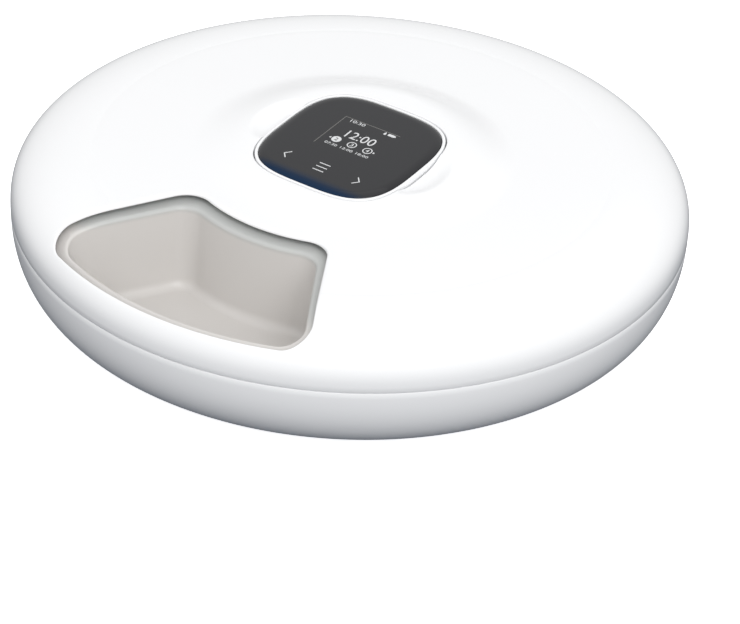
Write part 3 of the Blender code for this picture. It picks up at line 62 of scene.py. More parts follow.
# Casings: two superellipse quadrants that meet at the widest line.
BODY_RADIUS = 0.165
WIDEST_HEIGHT = 0.04765
PARTING_HEIGHT = 0.0445
LID_TOP = 0.0715
LID_FLAT_RADIUS = 0.1259
LID_CURVE_POWER = 2.29
BASE_FLAT_RADIUS = 0.1126
BASE_CURVE_POWER = 2.64
CASING_WALL = 0.0025
CASING_SIDES = 256
CURVE_STEPS = 30
LIP_DEPTH = 0.004
LIP_WALL = 0.0016
PARTING_ROUND = 0.0006
PARTING_GAP = 0.00012
CREASE_WIDTH = 0.0006
CREASE_DEPTH = 0.00004
SWELL_FOOT_RADIUS = 0.080
SWELL_TOP_RADIUS = 0.049
SWELL_STEPS = 34
SCOOP_STEPS = 14
FLAT_STEPS = 12

# Mouth of the lid.
MOUTH_INNER_RADIUS = 0.0826
MOUTH_OUTER_DROP = 0.0102
MOUTH_HALF_ANGLE = math.radians(28.5)
MOUTH_SIDE_INSET = 0.0014
MOUTH_INNER_CORNER = 0.0125
MOUTH_OUTER_CORNER = 0.0125
MOUTH_EDGE_ROUND = 0.0011
MOUTH_EDGE_LAND = 0.0003
MOUTH_UNDERCUT = 0.0014

# Base.
FOOT_STAND = 0.002
FLOOR_HEIGHT = FOOT_STAND + CASING_WALL
FOOT_RADIUS = 0.009
FOOT_TOP = 0.0026
FOOT_SEAT_DEPTH = 0.0009
FOOT_EDGE_ROUND = 0.0008
FOOT_RING_RADIUS = 0.104
FOOT_COUNT = 4
NECK_RADIUS = 0.0501
NECK_WALL = 0.002
NECK_TOP = 0.0216 - SEAT_GAP * 2
BOSS_RADIUS = 0.004
BOSS_INSET = 0.0065
DECK_SCREW_ANGLES = tuple(math.radians(angle) for angle in (0, 52, 128, 180))
SCREW_HOLE_RADIUS = 0.0015
SCREW_LENGTH = 0.009
BAY_WALL = 0.0014
BAY_WALL_HEIGHT = 0.012
DOOR_SWING_GAP = 0.0027
DOOR_HINGE_HALF_WIDTH = 0.010
HINGE_Y = -0.03905
HINGE_HEIGHT = 0.0046
BARREL_RADIUS = 0.0019
KNUCKLE_WIDTH = 0.0054
HINGE_PIN_RADIUS = 0.0007
ROLLER_RADIUS = 0.0055
ROLLER_WIDTH = 0.005
ROLLER_COUNT = 4
AXLE_RADIUS = 0.001
CHEEK_WALL = 0.0016
CHEEK_WIDTH = 0.008
SHAFT_Y = 0.045
PINION_TIP_RADIUS = 0.0102
PINION_WINDOW_MARGIN = 0.0012
INLET_HEIGHT = 0.0245
INLET_BORE_RADIUS = 0.0042
INLET_SETBACK = 0.0068
INLET_CRADLE_DEPTH = 0.0065

# Tray.
MEAL_COUNT = 6
LAND_DROP = 0.0023
DECK_WALL = 0.0022
HUB_RADIUS = 0.067
HUB_SKIRT_DEPTH = 0.0065
TRAY_RIM_SHARE = 1 / 3
TRAY_UNDERSIDE = 0.022
BOWL_INNER_RADIUS = 0.0880
BOWL_RIM_LAND = 0.0004
BOWL_HALF_LAND = 0.0085
BOWL_CORNER = 0.011
BOWL_WALL = 0.002
BOWL_INNER_TAPER = 0.0025
BOWL_SIDE_TAPER = 0.002
BOWL_OUTER_TAPER = 0.0156
BOWL_FLOOR_ROUND = 0.005
BOWL_EDGE_ROUND = 0.0018
DECK_STEPS = 56

# Control module, in its own frame: x right, y towards the back, z out of the glass.
PANEL_HEIGHT = 0.0766
PANEL_SHIFT_Y = -0.0024
PANEL_TILT = math.radians(3.93)
PANEL_POWER = 3.4
PANEL_SIDES = 144
GLASS_HALF_X = 0.03826
GLASS_HALF_Y = 0.0392
GLASS_THICKNESS = 0.0022
GLASS_CROWN = 0.0009
GLASS_EDGE_ROUND = 0.0045
# Depth of the painted dark reflection along the glass's front edge.
GLASS_PAINTED_REFLECTION_BAND = 0.0085
BEZEL_WIDTH = 0.0014
BEZEL_RISE = 0.0002
BEZEL_EDGE_ROUND = 0.0005
MODULE_GAP = 0.0006
MODULE_DEPTH = 0.0183
MODULE_WALL = 0.0016
MODULE_FOOT_ROUND = 0.0012
DISPLAY_HALF_X = 0.0175
DISPLAY_HALF_Y = 0.0155
DISPLAY_THICKNESS = 0.0016
TOUCH_BOARD_THICKNESS = 0.0014
WELL_WALL = 0.0018
WELL_FLOOR = 0.0018
WELL_EDGE_ROUND = 0.0005
WINDOW_HALF_X = 0.017
WINDOW_HALF_Y = 0.0085
SCOOP_REACH = 0.014
SCOOP_HALF_LENGTH = 0.021
SCOOP_DEPTH = 0.0030
PANEL_FRAME = Matrix.Translation((0, PANEL_SHIFT_Y, PANEL_HEIGHT)) @ Matrix.Rotation(PANEL_TILT, 4, "X")

# Print on the glass: the lit display, and the three touch keys.
PRINT_LOW = GLASS_CROWN - 0.00002
PRINT_HIGH = GLASS_CROWN + 0.00004
KEY_LINE = 0.00055
KEY_Y = -0.0240
ARROW_KEY_X = 0.0206
ARROW_KEY_HALF_WIDTH = 0.00125
ARROW_KEY_HALF_HEIGHT = 0.0029
MENU_HALF_WIDTH = 0.0031
MENU_LINE_STEP = 0.003
SCREEN_LEFT = -0.0160
SCREEN_RIGHT = 0.0158
SCREEN_LOW = -0.0080
SCREEN_TOP = 0.0194
SCREEN_LINE = 0.0004
BADGE_RADIUS = 0.0025
BADGE_LINE = 0.0005
BADGE_Y = 0.0001
BADGE_XS = (-0.0083, 0.0008, 0.0099)
BADGE_DIGIT_HALF_WIDTH = 0.0008
BADGE_DIGIT_HALF_HEIGHT = 0.0012
POINTER_REACH = 0.0042
POINTER_LENGTH = 0.001
POINTER_HALF_HEIGHT = 0.0008
SMALL_TIME_HALF_WIDTH = 0.0035
SMALL_TIME_LOW = -0.0055
SMALL_TIME_HIGH = -0.0037
CLOCK_BOX = (-0.0120, -0.0036, 0.0166, 0.0188)
NEXT_MEAL_BOX = (-0.0070, 0.0093, 0.0042, 0.0104)
PLUG_SIGN = ((0.0076, 0.0166), (0.0089, 0.0166), (0.0089, 0.0180), (0.0085, 0.0180),
             (0.0085, 0.0188), (0.0080, 0.0188), (0.0080, 0.0180), (0.0076, 0.0180))
CELL_SIGN = ((0.0100, 0.0168), (0.0137, 0.0168), (0.0137, 0.0172), (0.0143, 0.0172),
             (0.0143, 0.0182), (0.0137, 0.0182), (0.0137, 0.0186), (0.0100, 0.0186))
MEALS = (("2", "07:30"), ("3", "12:00"), ("4", "18:00"))

# Camera: the photograph's angle, 1.55 m from a point just below the middle of the base.
CAMERA_AIM = Vector((0.01039, 0.00673, -0.01947))
CAMERA_DISTANCE = 1.55
CAMERA_AZIMUTH = math.radians(32.92)
CAMERA_ELEVATION = math.radians(33.15)
CAMERA_ROLL = math.radians(3.04)
CAMERA_LENS = 150.93
CAMERA_SENSOR = 36

# Studio: the world's colours by share of height, and each softbox's place, aim, size and power.
FLOOR_RADIUS = 6
WORLD_LOW = (0.27, (0.05, 0.07, 0.105, 1))
WORLD_HIGH = (0.50, (1, 1, 1, 1))
WORLD_STRENGTH = 0.77
SOFTBOXES = (
    ("overhead_softbox", (-0.3, 0.1, 2.2), (0, 0, 0), 2.4, 4),
    ("left_softbox", (-1.6, -1.2, 1.4), (0, 0, 0.05), 1.2, 2.5),
    ("right_softbox", (1.42, -1.28, 1.65), (0, 0, 0.05), 1.6, 34),
)


# Materials

PATTERN_LOW = 0.3
PATTERN_HIGH = 0.7
SLOW_SCALE = 14
SKIN_SCALE = 900
SKIN_STRENGTH = 0.04
SKIN_DEPTH = 0.0001
BOWL_ROUGHNESS = 0.34


def finish_of(name, colour, roughness, **sockets):
    """A procedural finish, with its shader and its Object coordinates."""
    made = bpy.data.materials.new(name)
    made.use_nodes = True
    nodes = made.node_tree.nodes
    shader = nodes["Principled BSDF"]
    shader.inputs["Base Color"].default_value = (*colour, 1)
    shader.inputs["Roughness"].default_value = roughness
    for socket, value in sockets.items():
        shader.inputs[socket.replace("_", " ")].default_value = value
    place = nodes.new("ShaderNodeTexCoord")
    return made, shader, place.outputs["Object"]


def noise(made, place, scale, detail=3):
    texture = made.node_tree.nodes.new("ShaderNodeTexNoise")
    texture.inputs["Scale"].default_value = scale
    texture.inputs["Detail"].default_value = detail
    made.node_tree.links.new(place, texture.inputs["Vector"])
    return texture.outputs["Fac"]


def spread(made, source, low, high):
    """Maps a 0 to 1 pattern to values from low to high."""
    step = made.node_tree.nodes.new("ShaderNodeMapRange")
    step.inputs["From Min"].default_value = PATTERN_LOW
    step.inputs["From Max"].default_value = PATTERN_HIGH
    step.inputs["To Min"].default_value = low
    step.inputs["To Max"].default_value = high
    made.node_tree.links.new(source, step.inputs["Value"])
    return step.outputs["Result"]


def tint(made, source, low, high):
    """Maps a 0 to 1 pattern to colours from low to high."""
    ramp = made.node_tree.nodes.new("ShaderNodeValToRGB")
    ramp.color_ramp.elements[0].position = PATTERN_LOW
    ramp.color_ramp.elements[1].position = PATTERN_HIGH
    ramp.color_ramp.elements[0].color = (*low, 1)
    ramp.color_ramp.elements[1].color = (*high, 1)
    made.node_tree.links.new(source, ramp.inputs["Fac"])
    return ramp.outputs["Color"]


def bump(made, shader, height, strength, distance):
    step = made.node_tree.nodes.new("ShaderNodeBump")
    step.inputs["Strength"].default_value = strength
    step.inputs["Distance"].default_value = distance
    made.node_tree.links.new(height, step.inputs["Height"])
    made.node_tree.links.new(step.outputs["Normal"], shader.inputs["Normal"])


def moulded_plastic(name, colour, roughness, change=0.01, grain=SKIN_SCALE, **sockets):
    """Moulded plastic: a slow change of gloss and tone, and the faint skin of a polished mould."""
    made, shader, place = finish_of(name, colour, roughness, **sockets)
    link = made.node_tree.links.new
    flow = noise(made, place, SLOW_SCALE, 1)
    link(spread(made, flow, roughness - change, roughness + change), shader.inputs["Roughness"])
    darker = [value * 0.995 for value in colour]
    link(tint(made, flow, darker, colour), shader.inputs["Base Color"])
    bump(made, shader, noise(made, place, grain, 2), SKIN_STRENGTH, SKIN_DEPTH)
    return made


def brushed_metal(name, colour, roughness):
    made, shader, place = finish_of(name, colour, roughness, Metallic=1)
    link = made.node_tree.links.new
    grain = noise(made, place, 1400, 4)
    link(spread(made, grain, roughness - 0.08, roughness + 0.08), shader.inputs["Roughness"])
    link(tint(made, noise(made, place, 60), [v * 0.9 for v in colour], colour), shader.inputs["Base Color"])
    bump(made, shader, grain, SKIN_STRENGTH * 2, SKIN_DEPTH)
    return made


def board_mask(name, colour):
    """Solder mask over copper: darker and lighter green in the fine blocks of its tracks."""
    made, shader, place = finish_of(name, colour, 0.35)
    tracks = made.node_tree.nodes.new("ShaderNodeTexVoronoi")
    tracks.distance = "CHEBYCHEV"
    tracks.inputs["Scale"].default_value = 420
    link = made.node_tree.links.new
    link(place, tracks.inputs["Vector"])
    link(tint(made, tracks.outputs["Distance"], [v * 0.6 for v in colour], colour), shader.inputs["Base Color"])
    bump(made, shader, tracks.outputs["Distance"], 0.15, SKIN_DEPTH)
    return made


def banded(made, shader, place, axis, start, end, colour, band_colour):
    """Lets the colour pass softly into another from start to end along an axis, and gives the share of it."""
    nodes = made.node_tree.nodes
    link = made.node_tree.links.new
    parts = nodes.new("ShaderNodeSeparateXYZ")
    band = nodes.new("ShaderNodeMapRange")
    band.interpolation_type = "SMOOTHSTEP"
    band.inputs["From Min"].default_value = start
    band.inputs["From Max"].default_value = end
    blend = nodes.new("ShaderNodeMix")
    blend.data_type = "RGBA"
    blend.inputs["A"].default_value = (*colour, 1)
    blend.inputs["B"].default_value = (*band_colour, 1)
    link(place, parts.inputs[0])
    link(parts.outputs[axis], band.inputs["Value"])
    link(band.outputs["Result"], blend.inputs["Factor"])
    link(blend.outputs["Result"], shader.inputs["Base Color"])
    return band.outputs["Result"]


def bowl_plastic_painted_light(name, colour, painted_shade_colour):
    """The tray's grey plastic with painted light: a painted warm bounce that leaves the bowls a little lighter, and
    painted shade from the lid, cool and darker on the land.
    """
    made, shader, place = finish_of(name, colour, BOWL_ROUGHNESS)
    top = LID_TOP - CASING_WALL - LAND_DROP
    # Painted shade and light: the land at the top takes the darker cool colour as painted shade under the lid, and
    # the bowls keep the warmer, lighter one as a painted bounce.
    banded(made, shader, place, "Z", top - BOWL_EDGE_ROUND * 2, top, colour, painted_shade_colour)
    gloss = spread(made, noise(made, place, SLOW_SCALE, 1), BOWL_ROUGHNESS - 0.02, BOWL_ROUGHNESS + 0.02)
    made.node_tree.links.new(gloss, shader.inputs["Roughness"])
    bump(made, shader, noise(made, place, SKIN_SCALE, 2), SKIN_STRENGTH, SKIN_DEPTH)
    return made


def dark_cover_glass(name, colour, painted_reflection_colour):
    """Back-painted glass, whose front edge rolls over into a painted dark reflection: a deep blue band with little
    shine.
    """
    made, shader, place = finish_of(name, colour, 0.08)
    front = PANEL_SHIFT_Y - GLASS_HALF_Y
    edges = (front + GLASS_PAINTED_REFLECTION_BAND, front + GLASS_PAINTED_REFLECTION_BAND / 6)
    # Painted reflection: the deep blue colour and the weak shine on the rolled front edge stand for the dark
    # surroundings that it reflects.
    band = banded(made, shader, place, "Y", *edges, colour, painted_reflection_colour)
    painted_reflection_dulling = made.node_tree.nodes.new("ShaderNodeMapRange")
    painted_reflection_dulling.inputs["To Min"].default_value = 0.5
    painted_reflection_dulling.inputs["To Max"].default_value = 0.08
    made.node_tree.links.new(band, painted_reflection_dulling.inputs["Value"])
    made.node_tree.links.new(painted_reflection_dulling.outputs["Result"], shader.inputs["Specular IOR Level"])
    return made


WHITE = moulded_plastic("white_gloss_plastic", (0.86, 0.865, 0.875), 0.26, Coat_Weight=0.2, Coat_Roughness=0.12)
# The bowls' warmer colour is a painted bounce of light. The land's darker cool colour is painted shade from the lid.
GREY = bowl_plastic_painted_light("bowl_grey_plastic", (0.60, 0.58, 0.56), (0.47, 0.48, 0.47))
# The second colour is the front edge's painted dark reflection.
GLASS = dark_cover_glass("dark_cover_glass", (0.010, 0.0105, 0.013), (0.008, 0.024, 0.058))
SCREEN = moulded_plastic("display_face", (0.03, 0.032, 0.03), 0.28)
INNER = moulded_plastic("plain_grey_plastic", (0.35, 0.36, 0.37), 0.5, 0.06, 500)
ACETAL = moulded_plastic("acetal", (0.75, 0.74, 0.70), 0.42, 0.05, 600)
RUBBER = moulded_plastic("foot_rubber", (0.045, 0.045, 0.05), 0.8, 0.08, 700)
STEEL = brushed_metal("zinc_plated_steel", (0.60, 0.60, 0.62), 0.33)
BRASS = brushed_metal("plated_brass", (0.75, 0.58, 0.30), 0.28)
BOARD = board_mask("circuit_board", (0.03, 0.20, 0.10))
SLEEVE = moulded_plastic("cell_sleeve", (0.30, 0.31, 0.33), 0.35, 0.04, 500, Metallic=0.4)
PRINT = moulded_plastic("white_print", (0.66, 0.67, 0.68), 0.5, 0.02)
DIM_PRINT = moulded_plastic("dim_print", (0.15, 0.145, 0.14), 0.5, 0.02)


# Objects and meshes


def new_object(name, mesh, finish=None):
    made = bpy.data.objects.new(name, mesh)
    bpy.context.scene.collection.objects.link(made)
    if finish:
        mesh.materials.clear()
        mesh.materials.append(finish)
    return made


def mesh_from(maker, place=Matrix()):
    """A mesh that maker fills through bmesh, put in its place, with its faces pointing outwards."""
    mesh = bpy.data.meshes.new("mesh")
    work = bmesh.new()
    maker(work)
    work.transform(place)
    bmesh.ops.recalc_face_normals(work, faces=work.faces)
    work.to_mesh(mesh)
    work.free()
    return mesh


def box(low, high, place=Matrix()):
    low = Vector(low)
    high = Vector(high)
    shape = Matrix.Translation((low + high) / 2) @ Matrix.Diagonal((*(high - low), 1))
    return new_object("box", mesh_from(lambda work: bmesh.ops.create_cube(work, size=1, matrix=shape), place))


def rod(radius, low, high, sides, place=Matrix()):
    """A round bar along Z from height low to height high, in the frame that place gives."""

    def maker(work):
        bmesh.ops.create_cone(
            work,
            cap_ends=True,
            segments=sides,
            radius1=radius,
            radius2=radius,
            depth=high - low,
            matrix=Matrix.Translation((0, 0, (low + high) / 2)),
        )

    return new_object("rod", mesh_from(maker, place))


def turned(profile, sides, closed=False, place=Matrix()):
    """A profile of (radius, height) points turned about Z. An open one starts and ends on the axis."""

    def maker(work):
        count = len(profile)
        rings = []
        for radius, height in profile:
            if radius == 0:
                rings.append([work.verts.new((0, 0, height))] * sides)
                continue
            angles = [math.tau * i / sides for i in range(sides)]
            rings.append([work.verts.new((radius * math.cos(a), radius * math.sin(a), height)) for a in angles])
        for first in range(count if closed else count - 1):
            upper, lower = rings[first], rings[(first + 1) % count]
            for i in range(sides):
                corners = dict.fromkeys((upper[i - 1], lower[i - 1], lower[i], upper[i]))
                work.faces.new(list(corners))

    return new_object("turned", mesh_from(maker, place))


def loft(rings, place=Matrix(), round_trip=False):
    """A body through outlines of equal point counts: capped at both ends, or joined last to first."""

    def maker(work):
        loops = [[work.verts.new(point) for point in ring] for ring in rings]
        pairs = list(zip(loops, loops[1:]))
        if round_trip:
            pairs.append((loops[-1], loops[0]))
        for lower, upper in pairs:
            for i in range(len(lower)):
                work.faces.new((lower[i - 1], lower[i], upper[i], upper[i - 1]))
        if not round_trip:
            work.faces.new(loops[0])
            work.faces.new(loops[-1])

    return new_object("loft", mesh_from(maker, place))


def baked(item):
    """Takes the evaluated mesh and drops the modifiers that made it."""
    graph = bpy.context.evaluated_depsgraph_get()
    mesh = bpy.data.meshes.new_from_object(item.evaluated_get(graph))
    item.modifiers.clear()
    item.data = mesh
    return item


def carved(item, fused=(), cuts=()):
    """Joins and then cuts the item with other closed bodies, which are used up."""
    others = []
    for operation, tools in (("UNION", fused), ("DIFFERENCE", cuts)):
        for tool in tools:
            step = item.modifiers.new("carve", "BOOLEAN")
            step.operation = operation
            step.solver = "EXACT"
            step.object = tool
            others.append(tool)
    baked(item)
    for tool in others:
        bpy.data.objects.remove(tool)
    return item


def round_the_axis(item, copies, first_angle, finish):
    """Lays copies of the item round Z with a node tree, and joins those that touch along their sides."""
    tree = bpy.data.node_groups.new("copies_round_the_axis", "GeometryNodeTree")
    tree.interface.new_socket("Piece", in_out="INPUT", socket_type="NodeSocketGeometry")
    count = tree.interface.new_socket("Count", in_out="INPUT", socket_type="NodeSocketInt")
    start = tree.interface.new_socket("First Angle", in_out="INPUT", socket_type="NodeSocketFloat")
    join = tree.interface.new_socket("Join Distance", in_out="INPUT", socket_type="NodeSocketFloat")
    paint = tree.interface.new_socket("Finish", in_out="INPUT", socket_type="NodeSocketMaterial")
    tree.interface.new_socket("Ring", in_out="OUTPUT", socket_type="NodeSocketGeometry")
    made = {}
    for key, kind in (
        ("given", "NodeGroupInput"),
        ("points", "GeometryNodePoints"),
        ("index", "GeometryNodeInputIndex"),
        ("step", "ShaderNodeMath"),
        ("turn", "ShaderNodeMath"),
        ("angle", "ShaderNodeMath"),
        ("euler", "ShaderNodeCombineXYZ"),
        ("rotation", "FunctionNodeEulerToRotation"),
        ("copies", "GeometryNodeInstanceOnPoints"),
        ("real", "GeometryNodeRealizeInstances"),
        ("joined", "GeometryNodeMergeByDistance"),
        ("painted", "GeometryNodeSetMaterial"),
        ("result", "NodeGroupOutput"),
    ):
        made[key] = tree.nodes.new(kind)
    made["step"].operation = "DIVIDE"
    made["step"].inputs[0].default_value = math.tau
    made["turn"].operation = "MULTIPLY"
    made["angle"].operation = "ADD"
    for source, output, target, socket in (
        ("given", "Count", "points", "Count"),
        ("given", "Count", "step", 1),
        ("index", 0, "turn", 0),
        ("step", 0, "turn", 1),
        ("turn", 0, "angle", 0),
        ("given", "First Angle", "angle", 1),
        ("angle", 0, "euler", "Z"),
        ("euler", 0, "rotation", 0),
        ("points", 0, "copies", "Points"),
        ("given", "Piece", "copies", "Instance"),
        ("rotation", 0, "copies", "Rotation"),
        ("copies", 0, "real", 0),
        ("real", 0, "joined", "Geometry"),
        ("given", "Join Distance", "joined", "Distance"),
        ("joined", 0, "painted", "Geometry"),
        ("given", "Finish", "painted", "Material"),
        ("painted", 0, "result", 0),
    ):
        tree.links.new(made[source].outputs[output], made[target].inputs[socket])
    step = item.modifiers.new("copies", "NODES")
    step.node_group = tree
    step[count.identifier] = copies
    step[start.identifier] = first_angle
    step[join.identifier] = JOIN_DISTANCE
    step[paint.identifier] = finish
    return baked(item)


def gathered(items):
    """One object out of closed bodies that stand apart."""
    work = bmesh.new()
    for item in items:
        work.from_mesh(item.data)
        bpy.data.objects.remove(item)
    mesh = bpy.data.meshes.new("mesh")
    work.to_mesh(mesh)
    work.free()
    return new_object("gathered", mesh)


def finished(name, item, body, finish, slot, *nodes):
    """Names a piece, shades it, gives it its finish and lets it ride on its body in place of its nodes."""
    item.name = name
    item.data.name = name
    item.data.materials.clear()
    item.data.materials.append(finish)
    item.data.shade_smooth()
    item.data.set_sharp_from_angle(angle=SMOOTH_ANGLE)
    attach(item, body)
    if nodes:
        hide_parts(*nodes)
    return item


def about_z(angle):
    return Matrix.Rotation(angle, 4, "Z")


def polar(radius, angle, height=0):
    return Matrix.Translation((radius * math.cos(angle), radius * math.sin(angle), height))


def along_x(y, z):
    """Turns the local Z axis to +X, through this place."""
    return Matrix.Translation((0, y, z)) @ Matrix.Rotation(math.pi / 2, 4, "Y")


def radial(angle, radius, height):
    """Turns the local Z axis outwards along this angle, at this radius and height."""
    return about_z(angle) @ Matrix.Translation((radius, 0, height)) @ Matrix.Rotation(math.pi / 2, 4, "Y")


# Outlines and curves


def upper_curve(steps=CURVE_STEPS):
    """The lid's outer side from the edge of its flat top down to the widest line."""
    points = []
    for step in range(steps + 1):
        angle = math.pi / 2 * (1 - step / steps)
        out = math.cos(angle) ** (2 / LID_CURVE_POWER) if step else 0
        up = math.sin(angle) ** (2 / LID_CURVE_POWER) if step < steps else 0
        height = WIDEST_HEIGHT + (LID_TOP - WIDEST_HEIGHT) * up
        points.append((LID_FLAT_RADIUS + (BODY_RADIUS - LID_FLAT_RADIUS) * out, height))
    return points


def base_radius(height):
    fall = (WIDEST_HEIGHT - height) / WIDEST_HEIGHT
    width = (1 - fall**BASE_CURVE_POWER) ** (1 / BASE_CURVE_POWER)
    return BASE_FLAT_RADIUS + (BODY_RADIUS - BASE_FLAT_RADIUS) * width


def lower_curve(top, bottom, steps=CURVE_STEPS):
    """The base's outer side from height top down to height bottom."""
    falls = [(WIDEST_HEIGHT - height) / WIDEST_HEIGHT for height in (top, bottom)]
    first, last = (math.asin(fall ** (BASE_CURVE_POWER / 2)) for fall in falls)
    points = []
    for step in range(steps + 1):
        angle = first + (last - first) * step / steps
        height = WIDEST_HEIGHT * (1 - math.sin(angle) ** (2 / BASE_CURVE_POWER))
        points.append((base_radius(height), height))
    return points


def inset(points, distance):
    """The same line moved towards the inside, which is on its right as it runs down its outer side."""
    moved = []
    for i, point in enumerate(points):
        before = Vector(points[max(i - 1, 0)])
        after = Vector(points[min(i + 1, len(points) - 1)])
        here = Vector(point)
        ways = [way.normalized() for way in (here - before, after - here) if way.length > 0]
        normal = sum((Vector((-way.y, way.x)) for way in ways), Vector((0, 0))).normalized()
        miter = normal.dot(Vector((-ways[0].y, ways[0].x)))
        moved.append(tuple(here - normal * distance / miter))
    return moved


def height_along(line, radius):
    """Height of a line of (radius, height) points at this radius, straight between its points."""
    for (near, high), (far, low) in zip(line, line[1:]):
        if near <= radius <= far:
            return high + (low - high) * (radius - near) / (far - near)
    return line[0][1] if radius < line[0][0] else line[-1][1]


def arc(centre, radius, start, end, steps):
    """Points on an arc, both ends included."""
    angles = [start + (end - start) * i / steps for i in range(steps + 1)]
    return [(centre[0] + radius * math.cos(a), centre[1] + radius * math.sin(a)) for a in angles]


def sector(inner, outer, half_angle, side_inset, inner_corner, outer_corner, corner_steps=12, arc_steps=30):
    """A ring sector about +X whose sides are moved in and whose four corners are round."""
    corners = []
    for radius, corner in ((outer - outer_corner, outer_corner), (inner + inner_corner, inner_corner)):
        angle = half_angle - math.asin((corner + side_inset) / radius)
        corners.append((angle, (radius * math.cos(angle), radius * math.sin(angle))))
    (outer_angle, outer_centre), (inner_angle, inner_centre) = corners
    square = half_angle + math.pi / 2
    upper = arc(outer_centre, outer_corner, outer_angle, square, corner_steps)
    side = [Vector(upper[-1])]
    upper_inner = arc(inner_centre, inner_corner, square, inner_angle + math.pi, corner_steps)
    side.append(Vector(upper_inner[0]))
    upper += [tuple(side[0].lerp(side[1], i / corner_steps)) for i in range(1, corner_steps)]
    upper += upper_inner
    lower = [(x, -y) for x, y in reversed(upper)]
    outer_side = arc((0, 0), outer, -outer_angle, outer_angle, arc_steps)[1:-1]
    inner_side = arc((0, 0), inner, inner_angle, -inner_angle, arc_steps)[1:-1]
    return outer_side + upper + inner_side + lower


def squircle(half_x, half_y, count=PANEL_SIDES):
    """A superellipse whose points are spread by angle of travel, so that its corners keep enough of them."""
    points = []
    for i in range(count):
        angle = math.tau * i / count
        x, y = math.cos(angle), math.sin(angle)
        reach = (abs(x) ** PANEL_POWER + abs(y) ** PANEL_POWER) ** (-1 / PANEL_POWER)
        points.append((half_x * x * reach, half_y * y * reach))
    return points


def edge_steps(radius, steps=CUT_STEPS):
    """A rounded edge as (outwards, down) steps, from a wall's top to just short of level."""
    angles = [CUT_SLOPE * i / steps for i in range(steps + 1)]
    rounds = [(radius * (1 - math.cos(a)), radius * (1 - math.sin(a))) for a in angles]
    out, down = rounds[-1]
    climb = down + OVERRUN / 4
    rounds.append((out + climb * math.tan(CUT_SLOPE), down - climb))
    return rounds


# Lid


def rim_height(y):
    """Height of the lid round the control module, which leans with the glass."""
    return PANEL_HEIGHT + BEZEL_RISE + (y - PANEL_SHIFT_Y) * math.tan(PANEL_TILT)


def swell(x, y):
    """How far the lid rises above its flat top at this place."""
    reach = (SWELL_FOOT_RADIUS - math.hypot(x, y)) / (SWELL_FOOT_RADIUS - SWELL_TOP_RADIUS)
    reach = min(max(reach, 0), 1)
    return reach * reach * (3 - 2 * reach) * (rim_height(y) - LID_TOP)


def scoop_depth(x, y):
    """How far the finger scoops at both sides of the module dip into the lid at this place."""
    along = (y - PANEL_SHIFT_Y) / SCOOP_HALF_LENGTH
    out = max(abs(x) - WELL_HALF_X, 0) / SCOOP_REACH
    left = max(1 - along * along - out * out, 0)
    return left * left * (3 - 2 * left) * SCOOP_DEPTH


def lid_height(x, y):
    return height_along(LID_LINE, math.hypot(x, y)) + swell(x, y)


def even(start, end, steps):
    return [start + (end - start) * i / steps for i in range(steps)]


def lid_line():
    """The lid's outer side from its middle to its edge."""
    crease = LID_FLAT_RADIUS - CREASE_WIDTH
    radii = [0, SWELL_TOP_RADIUS / 3]
    radii += even(SWELL_TOP_RADIUS * 2 / 3, SWELL_TOP_RADIUS, SCOOP_STEPS)
    radii += even(SWELL_TOP_RADIUS, SWELL_FOOT_RADIUS, SWELL_STEPS)
    radii += even(SWELL_FOOT_RADIUS, crease, FLAT_STEPS)
    level = [(radius, LID_TOP) for radius in radii + [crease]]
    return level + [(crease + CREASE_WIDTH / 2, LID_TOP - CREASE_DEPTH)] + upper_curve()


LID_LINE = lid_line()


def lid_profile():
    parting = PARTING_HEIGHT + PARTING_GAP
    edge = PARTING_ROUND / 3
    outer = LID_LINE + [
        (base_radius(parting + edge), parting + edge),
        (base_radius(parting) - edge / 3, parting + edge / 3),
        (base_radius(parting) - edge, parting),
    ]
    inner = inset(LID_LINE, CASING_WALL)[1:-1]
    lip_outer = BODY_RADIUS - CASING_WALL - RUNNING_GAP
    lip_bottom = PARTING_HEIGHT - LIP_DEPTH
    lip = [(lip_outer, parting), (lip_outer, lip_bottom), (lip_outer - LIP_WALL, lip_bottom)]
    return outer + lip + inner[::-1] + [(0, LID_TOP - CASING_WALL)]


def mouth_outline(grow=0):
    up = (LID_TOP - MOUTH_OUTER_DROP - WIDEST_HEIGHT) / (LID_TOP - WIDEST_HEIGHT)
    shoulder = BODY_RADIUS - LID_FLAT_RADIUS
    outer = LID_FLAT_RADIUS + shoulder * (1 - up**LID_CURVE_POWER) ** (1 / LID_CURVE_POWER)
    corners = (MOUTH_INNER_CORNER + grow, MOUTH_OUTER_CORNER + grow)
    radii = (MOUTH_INNER_RADIUS - grow, outer + grow)
    return sector(*radii, MOUTH_HALF_ANGLE, MOUTH_SIDE_INSET - grow, *corners)


def mouth_cutter():
    """The opening, whose edge rolls over into the lid's surface all the way round."""
    turn = about_z(-math.pi / 2)
    bottom = PARTING_HEIGHT + LIP_DEPTH
    rings = [[(x, y, bottom) for x, y in mouth_outline(MOUTH_UNDERCUT)]]
    edge = [(MOUTH_UNDERCUT, CASING_WALL), (0, MOUTH_EDGE_ROUND + MOUTH_EDGE_LAND), *edge_steps(MOUTH_EDGE_ROUND)]
    for out, down in edge:
        outline = mouth_outline(out)
        places = [turn @ Vector((x, y, 0)) for x, y in outline]
        rings.append([(x, y, lid_height(p.x, p.y) - down) for (x, y), p in zip(outline, places)])
    rings.append([(x, y, LID_TOP + OVERRUN * 5) for x, y, _ in rings[-1]])
    return loft(rings, turn)


